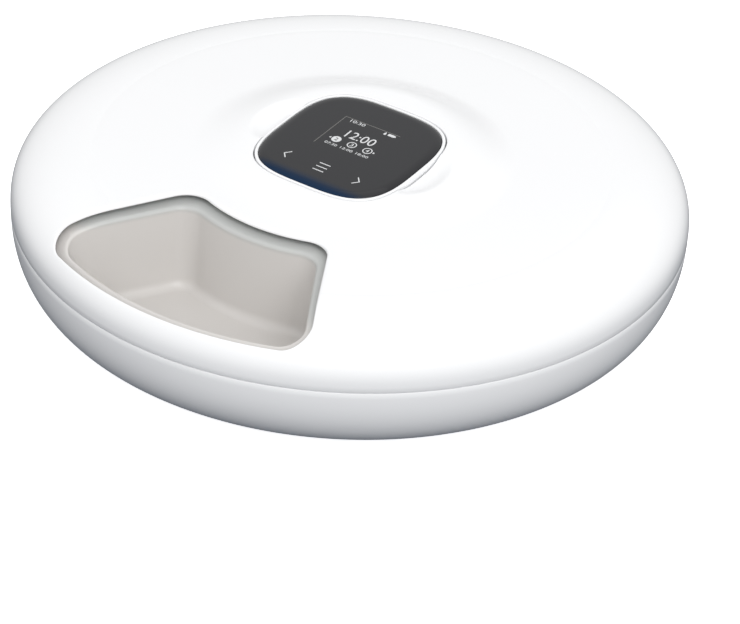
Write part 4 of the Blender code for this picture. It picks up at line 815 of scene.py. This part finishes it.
def well_cutter():
    rings = [[(x, y, -MODULE_DEPTH - SEAT_GAP) for x, y in squircle(WELL_HALF_X, WELL_HALF_Y)]]
    for out, down in edge_steps(WELL_EDGE_ROUND, 3):
        outline = squircle(WELL_HALF_X + out, WELL_HALF_Y + out)
        rings.append([(x, y, BEZEL_RISE - down) for x, y in outline])
    rings.append([(x, y, OVERRUN * 2) for x, y, _ in rings[-1]])
    return loft(rings, PANEL_FRAME)


def prism(outline, low, high, place=Matrix()):
    return loft([[(x, y, height) for x, y in outline] for height in (low, high)], place)


WELL_HALF_X = GLASS_HALF_X + SEAT_GAP + BEZEL_WIDTH + MODULE_GAP
WELL_HALF_Y = GLASS_HALF_Y + SEAT_GAP + BEZEL_WIDTH + MODULE_GAP


def lid():
    shell = turned(lid_profile(), CASING_SIDES)
    for vertex in shell.data.vertices:
        if vertex.co.z > LID_TOP - FUSE:
            vertex.co.z += swell(vertex.co.x, vertex.co.y) - scoop_depth(vertex.co.x, vertex.co.y)
    well_floor = -MODULE_DEPTH - SEAT_GAP
    wall = squircle(WELL_HALF_X + WELL_WALL, WELL_HALF_Y + WELL_WALL)
    inside_lid = LID_TOP - CASING_WALL * 3 / 4
    rise, run = math.sin(PANEL_TILT), math.cos(PANEL_TILT)
    well = loft(
        [
            [(x, y, well_floor - WELL_FLOOR) for x, y in wall],
            [(x, y, (inside_lid - PANEL_HEIGHT - y * rise) / run) for x, y in wall],
        ],
        PANEL_FRAME,
    )
    window = box(
        (-WINDOW_HALF_X, -WINDOW_HALF_Y, well_floor - WELL_FLOOR - OVERRUN),
        (WINDOW_HALF_X, WINDOW_HALF_Y, well_floor + OVERRUN),
        PANEL_FRAME,
    )
    carved(shell, [well], [well_cutter(), window, mouth_cutter()])
    finished("lid_casing", shell, "lid", WHITE, "white_gloss", "lid_shell")


# Base


def base_profile():
    whole = lower_curve(PARTING_HEIGHT - PARTING_ROUND, FOOT_STAND)
    inner = inset(lower_curve(WIDEST_HEIGHT, FOOT_STAND), CASING_WALL)
    ceiling = PARTING_HEIGHT - LIP_DEPTH
    wall = BODY_RADIUS - CASING_WALL
    corner = (inner[-1][0], FLOOR_HEIGHT)
    inner = [(radius, height) for radius, height in inner if FLOOR_HEIGHT < height < ceiling]
    edge = base_radius(PARTING_HEIGHT)
    return [
        (0, FLOOR_HEIGHT),
        corner,
        *reversed(inner),
        (wall, ceiling - RUNNING_GAP),
        (wall, PARTING_HEIGHT),
        (edge - PARTING_ROUND, PARTING_HEIGHT),
        (edge - PARTING_ROUND / 3, PARTING_HEIGHT - PARTING_ROUND / 3),
        *whole,
        (0, FOOT_STAND),
    ]


def neck_parts():
    """The neck with its screw bosses, and the holes in it."""
    low = FLOOR_HEIGHT - FUSE
    ring = [(NECK_RADIUS - NECK_WALL, NECK_TOP), (NECK_RADIUS, NECK_TOP)]
    ring += [(radius, low) for radius, _ in reversed(ring)]
    parts = [turned(ring, 128, closed=True)]
    holes = []
    for angle in DECK_SCREW_ANGLES:
        place = polar(NECK_RADIUS - NECK_WALL - BOSS_INSET, angle)
        parts.append(rod(BOSS_RADIUS, low, NECK_TOP, 32, place))
        holes.append(rod(SCREW_HOLE_RADIUS, NECK_TOP - SCREW_LENGTH, NECK_TOP + OVERRUN, 24, place))
    gear_low, gear_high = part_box("drive_pinion")[0].z, 0.0188 - SEAT_GAP
    half = PINION_TIP_RADIUS + PINION_WINDOW_MARGIN
    margin = RUNNING_GAP + SEAT_GAP
    holes.append(
        box(
            (-half, SHAFT_Y - PINION_TIP_RADIUS / 2, gear_low - margin),
            (half, NECK_RADIUS + OVERRUN, gear_high + margin),
        )
    )
    return parts, holes


def bay_parts():
    """The cell bay's walls and the hinge's knuckles, and the holes for the door."""
    low = FLOOR_HEIGHT - FUSE
    top = FLOOR_HEIGHT + BAY_WALL_HEIGHT
    door_low, door_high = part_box("battery_door")
    wide = door_high.x
    back = door_high.y
    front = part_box("battery_contact_front")[0].y - SEAT_GAP / 2
    parts = [
        box((-wide, front - BAY_WALL, low), (wide, front, top)),
        box((-wide, back - BAY_WALL, low), (wide, back, top)),
        box((-wide, front - BAY_WALL, low), (BAY_WALL - wide, back, top)),
        box((wide - BAY_WALL, front - BAY_WALL, low), (wide, back, top)),
    ]
    half = DOOR_HINGE_HALF_WIDTH + SEAT_GAP
    far = half + SEAT_GAP + KNUCKLE_WIDTH
    for side in (-1, 1):
        across = sorted((side * (half + SEAT_GAP), side * far))
        parts.append(
            box(
                (across[0], HINGE_Y - BARREL_RADIUS, low),
                (across[1], HINGE_Y + BARREL_RADIUS, HINGE_HEIGHT + BARREL_RADIUS),
            )
        )
    under = FOOT_STAND - OVERRUN
    reach = BARREL_RADIUS + RUNNING_GAP
    holes = [
        box(
            (-wide - SEAT_GAP, HINGE_Y + DOOR_SWING_GAP, under),
            (wide + SEAT_GAP, back + SEAT_GAP, FLOOR_HEIGHT - SEAT_GAP / 2),
        ),
        box(
            (BAY_WALL - wide, front, FOOT_STAND),
            (wide - BAY_WALL, back - BAY_WALL, FLOOR_HEIGHT + OVERRUN),
        ),
        box(
            (-half, HINGE_Y - reach - RUNNING_GAP, under),
            (half, HINGE_Y + DOOR_SWING_GAP + OVERRUN, FLOOR_HEIGHT + SEAT_GAP),
        ),
        rod(HINGE_PIN_RADIUS + SEAT_GAP, -far - OVERRUN, far + OVERRUN, 24, along_x(HINGE_Y, HINGE_HEIGHT)),
    ]
    return parts, holes


def roller_parts():
    """Two cheeks for each roller, and their bores."""
    low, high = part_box("support_roller_1")
    height = (low.z + high.z) / 2
    radius = math.hypot(low.x + high.x, low.y + high.y) / 2
    offset = ROLLER_WIDTH / 2 + RUNNING_GAP
    parts = []
    holes = []
    for i in range(ROLLER_COUNT):
        angle = math.tau * (i + 0.5) / ROLLER_COUNT
        for side in (-1, 1):
            across = sorted(radius + side * reach for reach in (offset, offset + CHEEK_WALL))
            corner = (across[0], -CHEEK_WIDTH / 2, FLOOR_HEIGHT - FUSE)
            parts.append(box(corner, (across[1], CHEEK_WIDTH / 2, height + ROLLER_RADIUS / 2), about_z(angle)))
        reach = offset + CHEEK_WALL + OVERRUN
        holes.append(rod(AXLE_RADIUS + SEAT_GAP, -reach, reach, 20, radial(angle, radius, height)))
    return parts, holes


def base():
    shell = turned(base_profile(), CASING_SIDES)
    parts = []
    holes = []
    for more_parts, more_holes in (neck_parts(), bay_parts(), roller_parts()):
        parts += more_parts
        holes += more_holes
    for i in range(FOOT_COUNT):
        place = polar(FOOT_RING_RADIUS, math.tau * (i + 0.5) / FOOT_COUNT)
        holes.append(rod(FOOT_RADIUS + SEAT_GAP, FOOT_STAND - OVERRUN, FOOT_STAND + FOOT_SEAT_DEPTH, 48, place))
    knob_low, knob_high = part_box("switch_knob")
    slot_y = (knob_low.y + knob_high.y) / 2
    half_y = (knob_high.y - knob_low.y) / 2 + SEAT_GAP
    half_x = -knob_low.x + SEAT_GAP
    holes.append(
        box((-half_x, slot_y - half_y, FOOT_STAND - OVERRUN), (half_x, slot_y + half_y, FLOOR_HEIGHT + OVERRUN))
    )
    inlet_low, inlet_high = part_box("power_inlet")
    cradle_top = inlet_low.z - SEAT_GAP
    parts.append(
        box(
            (inlet_low.x, inlet_low.y, cradle_top - INLET_CRADLE_DEPTH),
            (inlet_high.x, inlet_high.y - CASING_WALL, cradle_top),
        )
    )
    back = Matrix.Translation((0, base_radius(INLET_HEIGHT), INLET_HEIGHT)) @ Matrix.Rotation(-math.pi / 2, 4, "X")
    holes.append(rod(INLET_BORE_RADIUS, -INLET_SETBACK, OVERRUN * 2, 64, back))
    carved(shell, parts, holes)
    finished("base_casing", shell, "base", WHITE, "white_gloss", "base_shell")


def feet():
    profile = [(0, FOOT_TOP), (FOOT_RADIUS, FOOT_TOP)]
    for i in range(6):
        angle = math.pi / 2 * i / 5
        radius = FOOT_RADIUS - FOOT_EDGE_ROUND * (1 - math.cos(angle))
        profile.append((radius, FOOT_EDGE_ROUND * (1 - math.sin(angle))))
    profile.append((0, 0))
    piece = turned(profile, 48, place=Matrix.Translation((FOOT_RING_RADIUS, 0, 0)))
    round_the_axis(piece, FOOT_COUNT, math.pi / FOOT_COUNT, RUBBER)
    nodes = [f"foot_{i + 1}" for i in range(FOOT_COUNT)]
    finished("rubber_feet", piece, "base", RUBBER, "rubber", *nodes)


# Tray


def deck_line():
    """The tray's top from its hub to its rim: level, and then a set drop inside the lid's shoulder."""
    drop = CASING_WALL + LAND_DROP
    shoulder = inset([(LID_FLAT_RADIUS - drop, LID_TOP)] + upper_curve(), drop)[1:]
    lowest = WIDEST_HEIGHT + (LID_TOP - WIDEST_HEIGHT) * TRAY_RIM_SHARE
    level = [(radius, LID_TOP - drop) for radius in even(HUB_RADIUS, LID_FLAT_RADIUS - drop, FLAT_STEPS)]
    return level + [(radius, height) for radius, height in shoulder if height > lowest]


DECK_LINE = deck_line()
LAND_HEIGHT = LID_TOP - CASING_WALL - LAND_DROP
BOWL_FLOOR_HEIGHT = TRAY_UNDERSIDE + BOWL_WALL
BOWL_WALL_TOP = LAND_HEIGHT - BOWL_EDGE_ROUND


def bowl_outline(share, grow):
    """The bowl's plan, from its top at share 0 to its floor at 1, made wider all round by grow."""
    up = (LID_TOP - MOUTH_OUTER_DROP - WIDEST_HEIGHT) / (LID_TOP - WIDEST_HEIGHT)
    shoulder = BODY_RADIUS - LID_FLAT_RADIUS
    mouth = LID_FLAT_RADIUS + shoulder * (1 - up**LID_CURVE_POWER) ** (1 / LID_CURVE_POWER)
    outer = mouth - CASING_WALL - BOWL_RIM_LAND - BOWL_OUTER_TAPER * share + grow
    inner = BOWL_INNER_RADIUS + BOWL_INNER_TAPER * share - grow
    side = BOWL_HALF_LAND + BOWL_SIDE_TAPER * share - grow
    corner = BOWL_CORNER + grow
    return sector(inner, outer, math.pi / MEAL_COUNT, side, corner, corner)


def depth_share(height):
    return max((BOWL_WALL_TOP - height) / (BOWL_WALL_TOP - BOWL_FLOOR_HEIGHT), 0)


def rim_shares():
    """For each point of the bowl's plan, the share at which its wall meets the rounded edge of the deck."""
    shares = [0] * len(bowl_outline(0, 0))
    for _ in range(6):
        for i, share in enumerate(shares):
            x, y = bowl_outline(share, 0)[i]
            shares[i] = depth_share(height_along(DECK_LINE, math.hypot(x, y)) - BOWL_EDGE_ROUND)
    return shares


def bowl_floor_rings(grow, floor, corner):
    """Rings that roll from the floor up into the walls."""
    rings = []
    for i in range(7):
        angle = math.pi / 2 * i / 6
        height = floor + corner * (1 - math.cos(angle))
        outline = bowl_outline(depth_share(height), grow - corner * (1 - math.sin(angle)))
        rings.append([(x, y, height) for x, y in outline])
    return rings


def deck_cap(rim):
    """Rings that close a bowl's body inside the deck, whose middle stays level while its rim falls."""
    middle = sum(x for x, _, _ in rim) / len(rim)
    rings = []
    for share in (0.9, 0.8, 0.7, 0.6, 0.4, 0.2, 0.05):
        ring = [(middle + (x - middle) * share, y * share) for x, y, _ in rim]
        rings.append([(x, y, height_along(DECK_LINE, math.hypot(x, y)) - DECK_WALL / 2) for x, y in ring])
    return rings


def tray_sixth():
    """One bowl and its share of the deck, centred on +X, open at both sides."""
    half = math.pi / MEAL_COUNT
    under = inset([(0, LAND_HEIGHT)] + DECK_LINE[1:], DECK_WALL)[1:]
    inner = HUB_RADIUS + DECK_WALL
    under = [(radius, height) for radius, height in under if radius > inner]
    skirt = LAND_HEIGHT - HUB_SKIRT_DEPTH
    profile = DECK_LINE + under[::-1] + [(inner, LAND_HEIGHT - DECK_WALL), (inner, skirt), (HUB_RADIUS, skirt)]
    angles = [-half + 2 * half * i / DECK_STEPS for i in range(DECK_STEPS + 1)]
    wedge = loft([[(r * math.cos(a), r * math.sin(a), z) for r, z in profile] for a in angles])
    shares = rim_shares()

    def rim_ring(grow, drop):
        points = [bowl_outline(share, grow)[i] for i, share in enumerate(shares)]
        return [(x, y, height_along(DECK_LINE, math.hypot(x, y)) - drop) for x, y in points]

    outside = bowl_floor_rings(BOWL_WALL, TRAY_UNDERSIDE, BOWL_FLOOR_ROUND + BOWL_WALL)
    outside.append(rim_ring(BOWL_WALL, DECK_WALL / 2))
    outside += deck_cap(outside[-1])
    hollow = bowl_floor_rings(0, BOWL_FLOOR_HEIGHT, BOWL_FLOOR_ROUND)
    hollow += [rim_ring(out, down) for out, down in edge_steps(BOWL_EDGE_ROUND)]
    hollow.append([(x, y, LID_TOP) for x, y, _ in hollow[-1]])
    carved(wedge, [loft(outside)], [loft(hollow)])
    work = bmesh.new()
    work.from_mesh(wedge.data)
    sides = [Vector((-math.sin(half), side * math.cos(half), 0)) for side in (-1, 1)]
    cut_faces = [face for face in work.faces if any(face.normal.dot(side) > 0.9999 for side in sides)]
    reach = [abs(max(face.calc_center_median().dot(side) for side in sides)) for face in cut_faces]
    bmesh.ops.delete(work, geom=[f for f, r in zip(cut_faces, reach) if r < FUSE / 4], context="FACES")
    work.to_mesh(wedge.data)
    work.free()
    return wedge


def tray():
    """Six copies of one bowl, joined along their sides."""
    piece = tray_sixth()
    round_the_axis(piece, MEAL_COUNT, -math.pi / 2, GREY)
    finished("meal_tray", piece, "carousel", GREY, "bowl_grey", "tray")


# Control module


def cover_glass():
    rings = [[(x, y, -GLASS_THICKNESS) for x, y in squircle(GLASS_HALF_X, GLASS_HALF_Y)]]
    low = -GLASS_CROWN / 2
    for i in range(13):
        angle = math.pi / 2 * i / 12
        narrower = GLASS_EDGE_ROUND * (1 - math.cos(angle))
        height = low + (GLASS_CROWN - low) * math.sin(angle)
        rings.append([(x, y, height) for x, y in squircle(GLASS_HALF_X - narrower, GLASS_HALF_Y - narrower)])
    finished("cover_glass", loft(rings, PANEL_FRAME), "module", GLASS, "dark_glass", "control_glass")


def bezel():
    inner_x, inner_y = GLASS_HALF_X + SEAT_GAP, GLASS_HALF_Y + SEAT_GAP
    low = -GLASS_THICKNESS - SEAT_GAP
    section = [(0, low)]
    for centre, start in ((BEZEL_EDGE_ROUND, math.pi), (BEZEL_WIDTH - BEZEL_EDGE_ROUND, math.pi / 2)):
        section += arc((centre, BEZEL_RISE - BEZEL_EDGE_ROUND), BEZEL_EDGE_ROUND, start, start - math.pi / 2, 5)
    section.append((BEZEL_WIDTH, low))
    rings = [[(x, y, height) for x, y in squircle(inner_x + out, inner_y + out)] for out, height in section]
    made = loft(rings, PANEL_FRAME, round_trip=True)
    finished("panel_bezel", made, "module", WHITE, "white_gloss", "module_bezel")


def housing():
    half_x, half_y = WELL_HALF_X - MODULE_GAP, WELL_HALF_Y - MODULE_GAP
    top = -GLASS_THICKNESS - SEAT_GAP * 2
    rings = []
    for i in range(6):
        angle = math.pi / 2 * i / 5
        narrower = MODULE_FOOT_ROUND * (1 - math.sin(angle))
        height = -MODULE_DEPTH + MODULE_FOOT_ROUND * (1 - math.cos(angle))
        rings.append([(x, y, height) for x, y in squircle(half_x - narrower, half_y - narrower)])
    rings.append([(x, y, top) for x, y in squircle(half_x, half_y)])
    made = loft(rings, PANEL_FRAME)
    bottom = -MODULE_DEPTH + MODULE_WALL
    hollow = prism(squircle(half_x - MODULE_WALL, half_y - MODULE_WALL), bottom, OVERRUN, PANEL_FRAME)
    carved(made, cuts=[hollow])
    board_under = top - DISPLAY_THICKNESS - TOUCH_BOARD_THICKNESS - SEAT_GAP
    ribs = []
    for side in (-1, 1):
        across = sorted((side * DISPLAY_HALF_X, side * (DISPLAY_HALF_X - MODULE_WALL)))
        corner = (across[0], -DISPLAY_HALF_Y, bottom - FUSE)
        ribs.append(box(corner, (across[1], DISPLAY_HALF_Y, board_under), PANEL_FRAME))
    carved(made, ribs)
    finished("module_case", made, "module", WHITE, "white_gloss", "module_housing")


def panel_spot(x, y):
    return PANEL_FRAME @ Matrix.Translation((x, y, 0))


def stroke(points, width=KEY_LINE):
    """A thin printed line of even width through points of the panel."""
    here = [Vector(point) for point in points]
    sides = ([], [])
    for i, point in enumerate(here):
        ways = [b - a for a, b in zip(here[max(i - 1, 0) : i + 2], here[max(i, 1) : i + 2])]
        normals = [Vector((-way.y, way.x)).normalized() for way in ways]
        normal = sum(normals, Vector((0, 0))).normalized()
        reach = width / 2 / normal.dot(normals[0])
        sides[0].append(tuple(point + normal * reach))
        sides[1].append(tuple(point - normal * reach))
    return prism(sides[0] + sides[1][::-1], PRINT_LOW, PRINT_HIGH, PANEL_FRAME)


def digits(words, left, right, low, high):
    """Printed digits that fill this box of the panel."""
    letters = bpy.data.curves.new("letters", "FONT")
    letters.body = words
    letters.extrude = 0.5
    letters.resolution_u = 3
    shape = new_object("letters", letters)
    graph = bpy.context.evaluated_depsgraph_get()
    flat = bpy.data.meshes.new_from_object(shape.evaluated_get(graph))
    bpy.data.objects.remove(shape)
    places = [vertex.co for vertex in flat.vertices]
    first = [min(place[axis] for place in places) for axis in range(3)]
    last = [max(place[axis] for place in places) for axis in range(3)]

    def maker(work):
        work.from_mesh(flat)
        bmesh.ops.remove_doubles(work, verts=work.verts, dist=0.0001)
        for vertex in work.verts:
            share = [(vertex.co[axis] - first[axis]) / (last[axis] - first[axis]) for axis in range(3)]
            x = left + (right - left) * share[0]
            y = low + (high - low) * share[1]
            vertex.co = (x, y, PRINT_LOW + (PRINT_HIGH - PRINT_LOW) * share[2])

    return new_object("digits", mesh_from(maker, PANEL_FRAME))


def badge_ring(x, y):
    inner = BADGE_RADIUS - BADGE_LINE
    section = [(BADGE_RADIUS, PRINT_LOW), (BADGE_RADIUS, PRINT_HIGH), (inner, PRINT_HIGH), (inner, PRINT_LOW)]
    return turned(section, 40, closed=True, place=panel_spot(x, y))


def flat_shape(points):
    return prism(points, PRINT_LOW, PRINT_HIGH, PANEL_FRAME)


def key_marks():
    """Left arrow, menu lines and right arrow."""
    marks = []
    for side in (-1, 1):
        tip = side * (ARROW_KEY_X + ARROW_KEY_HALF_WIDTH)
        back = side * (ARROW_KEY_X - ARROW_KEY_HALF_WIDTH)
        marks.append(
            stroke([(back, KEY_Y + ARROW_KEY_HALF_HEIGHT), (tip, KEY_Y), (back, KEY_Y - ARROW_KEY_HALF_HEIGHT)])
        )
    for row in (-1, 0, 1):
        y = KEY_Y + row * MENU_LINE_STEP
        marks.append(stroke([(-MENU_HALF_WIDTH, y), (MENU_HALF_WIDTH, y)]))
    return marks


def badge_digit(number, x):
    across, up = BADGE_DIGIT_HALF_WIDTH, BADGE_DIGIT_HALF_HEIGHT
    return digits(number, x - across, x + across, BADGE_Y - up, BADGE_Y + up)


def pointer(x, side):
    """A small arrowhead beside a badge, which points away from it."""
    tip = x + side * POINTER_REACH
    back = tip - side * POINTER_LENGTH
    return flat_shape([(tip, BADGE_Y), (back, BADGE_Y + POINTER_HALF_HEIGHT), (back, BADGE_Y - POINTER_HALF_HEIGHT)])


def display_marks():
    """A clock, the next meal's time, and three meals with their numbers and times."""
    marks = [digits("10:30", *CLOCK_BOX), digits("12:00", *NEXT_MEAL_BOX)]
    marks += [flat_shape(PLUG_SIGN), flat_shape(CELL_SIGN)]
    marks += [pointer(BADGE_XS[0], -1), pointer(BADGE_XS[-1], 1)]
    marks.append(rod(BADGE_RADIUS, PRINT_LOW, PRINT_HIGH, 40, panel_spot(BADGE_XS[0], BADGE_Y)))
    for x, (_, time) in zip(BADGE_XS, MEALS):
        half = SMALL_TIME_HALF_WIDTH
        marks.append(digits(time, x - half, x + half, SMALL_TIME_LOW, SMALL_TIME_HIGH))
    for x, (number, _) in list(zip(BADGE_XS, MEALS))[1:]:
        marks += [badge_ring(x, BADGE_Y), badge_digit(number, x)]
    return marks


def panel_print():
    """The lit marks, the screen's faint edge, and the dark number on the filled badge."""
    finished("panel_print", gathered(key_marks() + display_marks()), "module", PRINT, "white_gloss")
    edge = stroke([(SCREEN_LEFT, SCREEN_LOW), (SCREEN_LEFT, SCREEN_TOP), (SCREEN_RIGHT, SCREEN_TOP)], SCREEN_LINE)
    finished("screen_edge", edge, "module", DIM_PRINT, "screen")
    number = badge_digit(MEALS[0][0], BADGE_XS[0])
    lift = Matrix.Translation((0, 0, PRINT_HIGH - PRINT_LOW))
    number.data.transform(PANEL_FRAME @ lift @ PANEL_FRAME.inverted())
    finished("badge_number", number, "module", SCREEN, "screen")


# Stage


def studio():
    def disc(work):
        bmesh.ops.create_circle(work, cap_ends=True, segments=96, radius=FLOOR_RADIUS)

    floor = new_object("floor", mesh_from(disc))
    white = (1, 1, 1, 1)
    paper = finish_of("white_paper", (0.9, 0.9, 0.9), 0.9, Emission_Color=white, Emission_Strength=0.75)[0]
    floor.data.materials.append(paper)
    floor.visible_diffuse = False
    floor.visible_glossy = False
    world = bpy.data.worlds.new("studio")
    world.use_nodes = True
    bpy.context.scene.world = world
    nodes = world.node_tree.nodes
    link = world.node_tree.links.new
    place = nodes.new("ShaderNodeTexCoord")
    parts = nodes.new("ShaderNodeSeparateXYZ")
    ramp = nodes.new("ShaderNodeValToRGB")
    lift = nodes.new("ShaderNodeMapRange")
    lift.inputs["From Min"].default_value = -1
    lift.inputs["From Max"].default_value = 1
    link(place.outputs["Generated"], parts.inputs[0])
    link(parts.outputs["Z"], lift.inputs["Value"])
    link(lift.outputs["Result"], ramp.inputs["Fac"])
    link(ramp.outputs["Color"], nodes["Background"].inputs["Color"])
    for stop, (share, colour) in zip(ramp.color_ramp.elements, (WORLD_LOW, WORLD_HIGH)):
        stop.position = share
        stop.color = colour
    nodes["Background"].inputs["Strength"].default_value = WORLD_STRENGTH
    for name, place, aim, size, power in SOFTBOXES:
        light = bpy.data.lights.new(name, "AREA")
        light.size = size
        light.energy = power
        lamp = bpy.data.objects.new(name, light)
        bpy.context.scene.collection.objects.link(lamp)
        lamp.location = place
        lamp.rotation_euler = (Vector(aim) - Vector(place)).to_track_quat("-Z", "Y").to_euler()


def camera():
    lens = bpy.data.cameras.new("camera")
    lens.lens = CAMERA_LENS
    lens.sensor_width = CAMERA_SENSOR
    made = bpy.data.objects.new("camera", lens)
    bpy.context.scene.collection.objects.link(made)
    turn = about_z(CAMERA_AZIMUTH) @ Matrix.Rotation(math.pi / 2 - CAMERA_ELEVATION, 4, "X")
    turn = turn @ about_z(CAMERA_ROLL)
    place = CAMERA_AIM + turn.to_3x3() @ Vector((0, 0, CAMERA_DISTANCE))
    made.matrix_world = Matrix.Translation(place) @ turn
    bpy.context.scene.camera = made


def finish_nodes():
    """Gives every node that still shows its finish, by the colour group that it came with."""
    finishes = {
        WHITE: ("battery_door", "tower_cap"),
        SCREEN: ("display_panel",),
        INNER: ("motor_deck", "support_roller", "contact_block", "power_inlet", "switch_body"),
        ACETAL: ("turntable", "drive_pinion"),
        RUBBER: ("foot", "switch_knob"),
        STEEL: ("gear_motor", "index_magnet", "roller_axle", "deck_screw", "cap_screw", "motor_screw",
                "battery_contact", "door_hinge_pin"),
        BRASS: ("contact_stud", "pad_board"),
        BOARD: ("main_board", "touch_board", "position_sensor"),
        SLEEVE: ("battery_1", "battery_2", "battery_3", "battery_4"),
    }
    for finish, starts in finishes.items():
        for name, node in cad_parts.items():
            if name.startswith(starts):
                node.data.materials.clear()
                node.data.materials.append(finish)


bpy.context.scene.view_settings.view_transform = "Standard"
camera()
studio()
finish_nodes()
lid()
base()
feet()
tray()
cover_glass()
bezel()
housing()
panel_print()
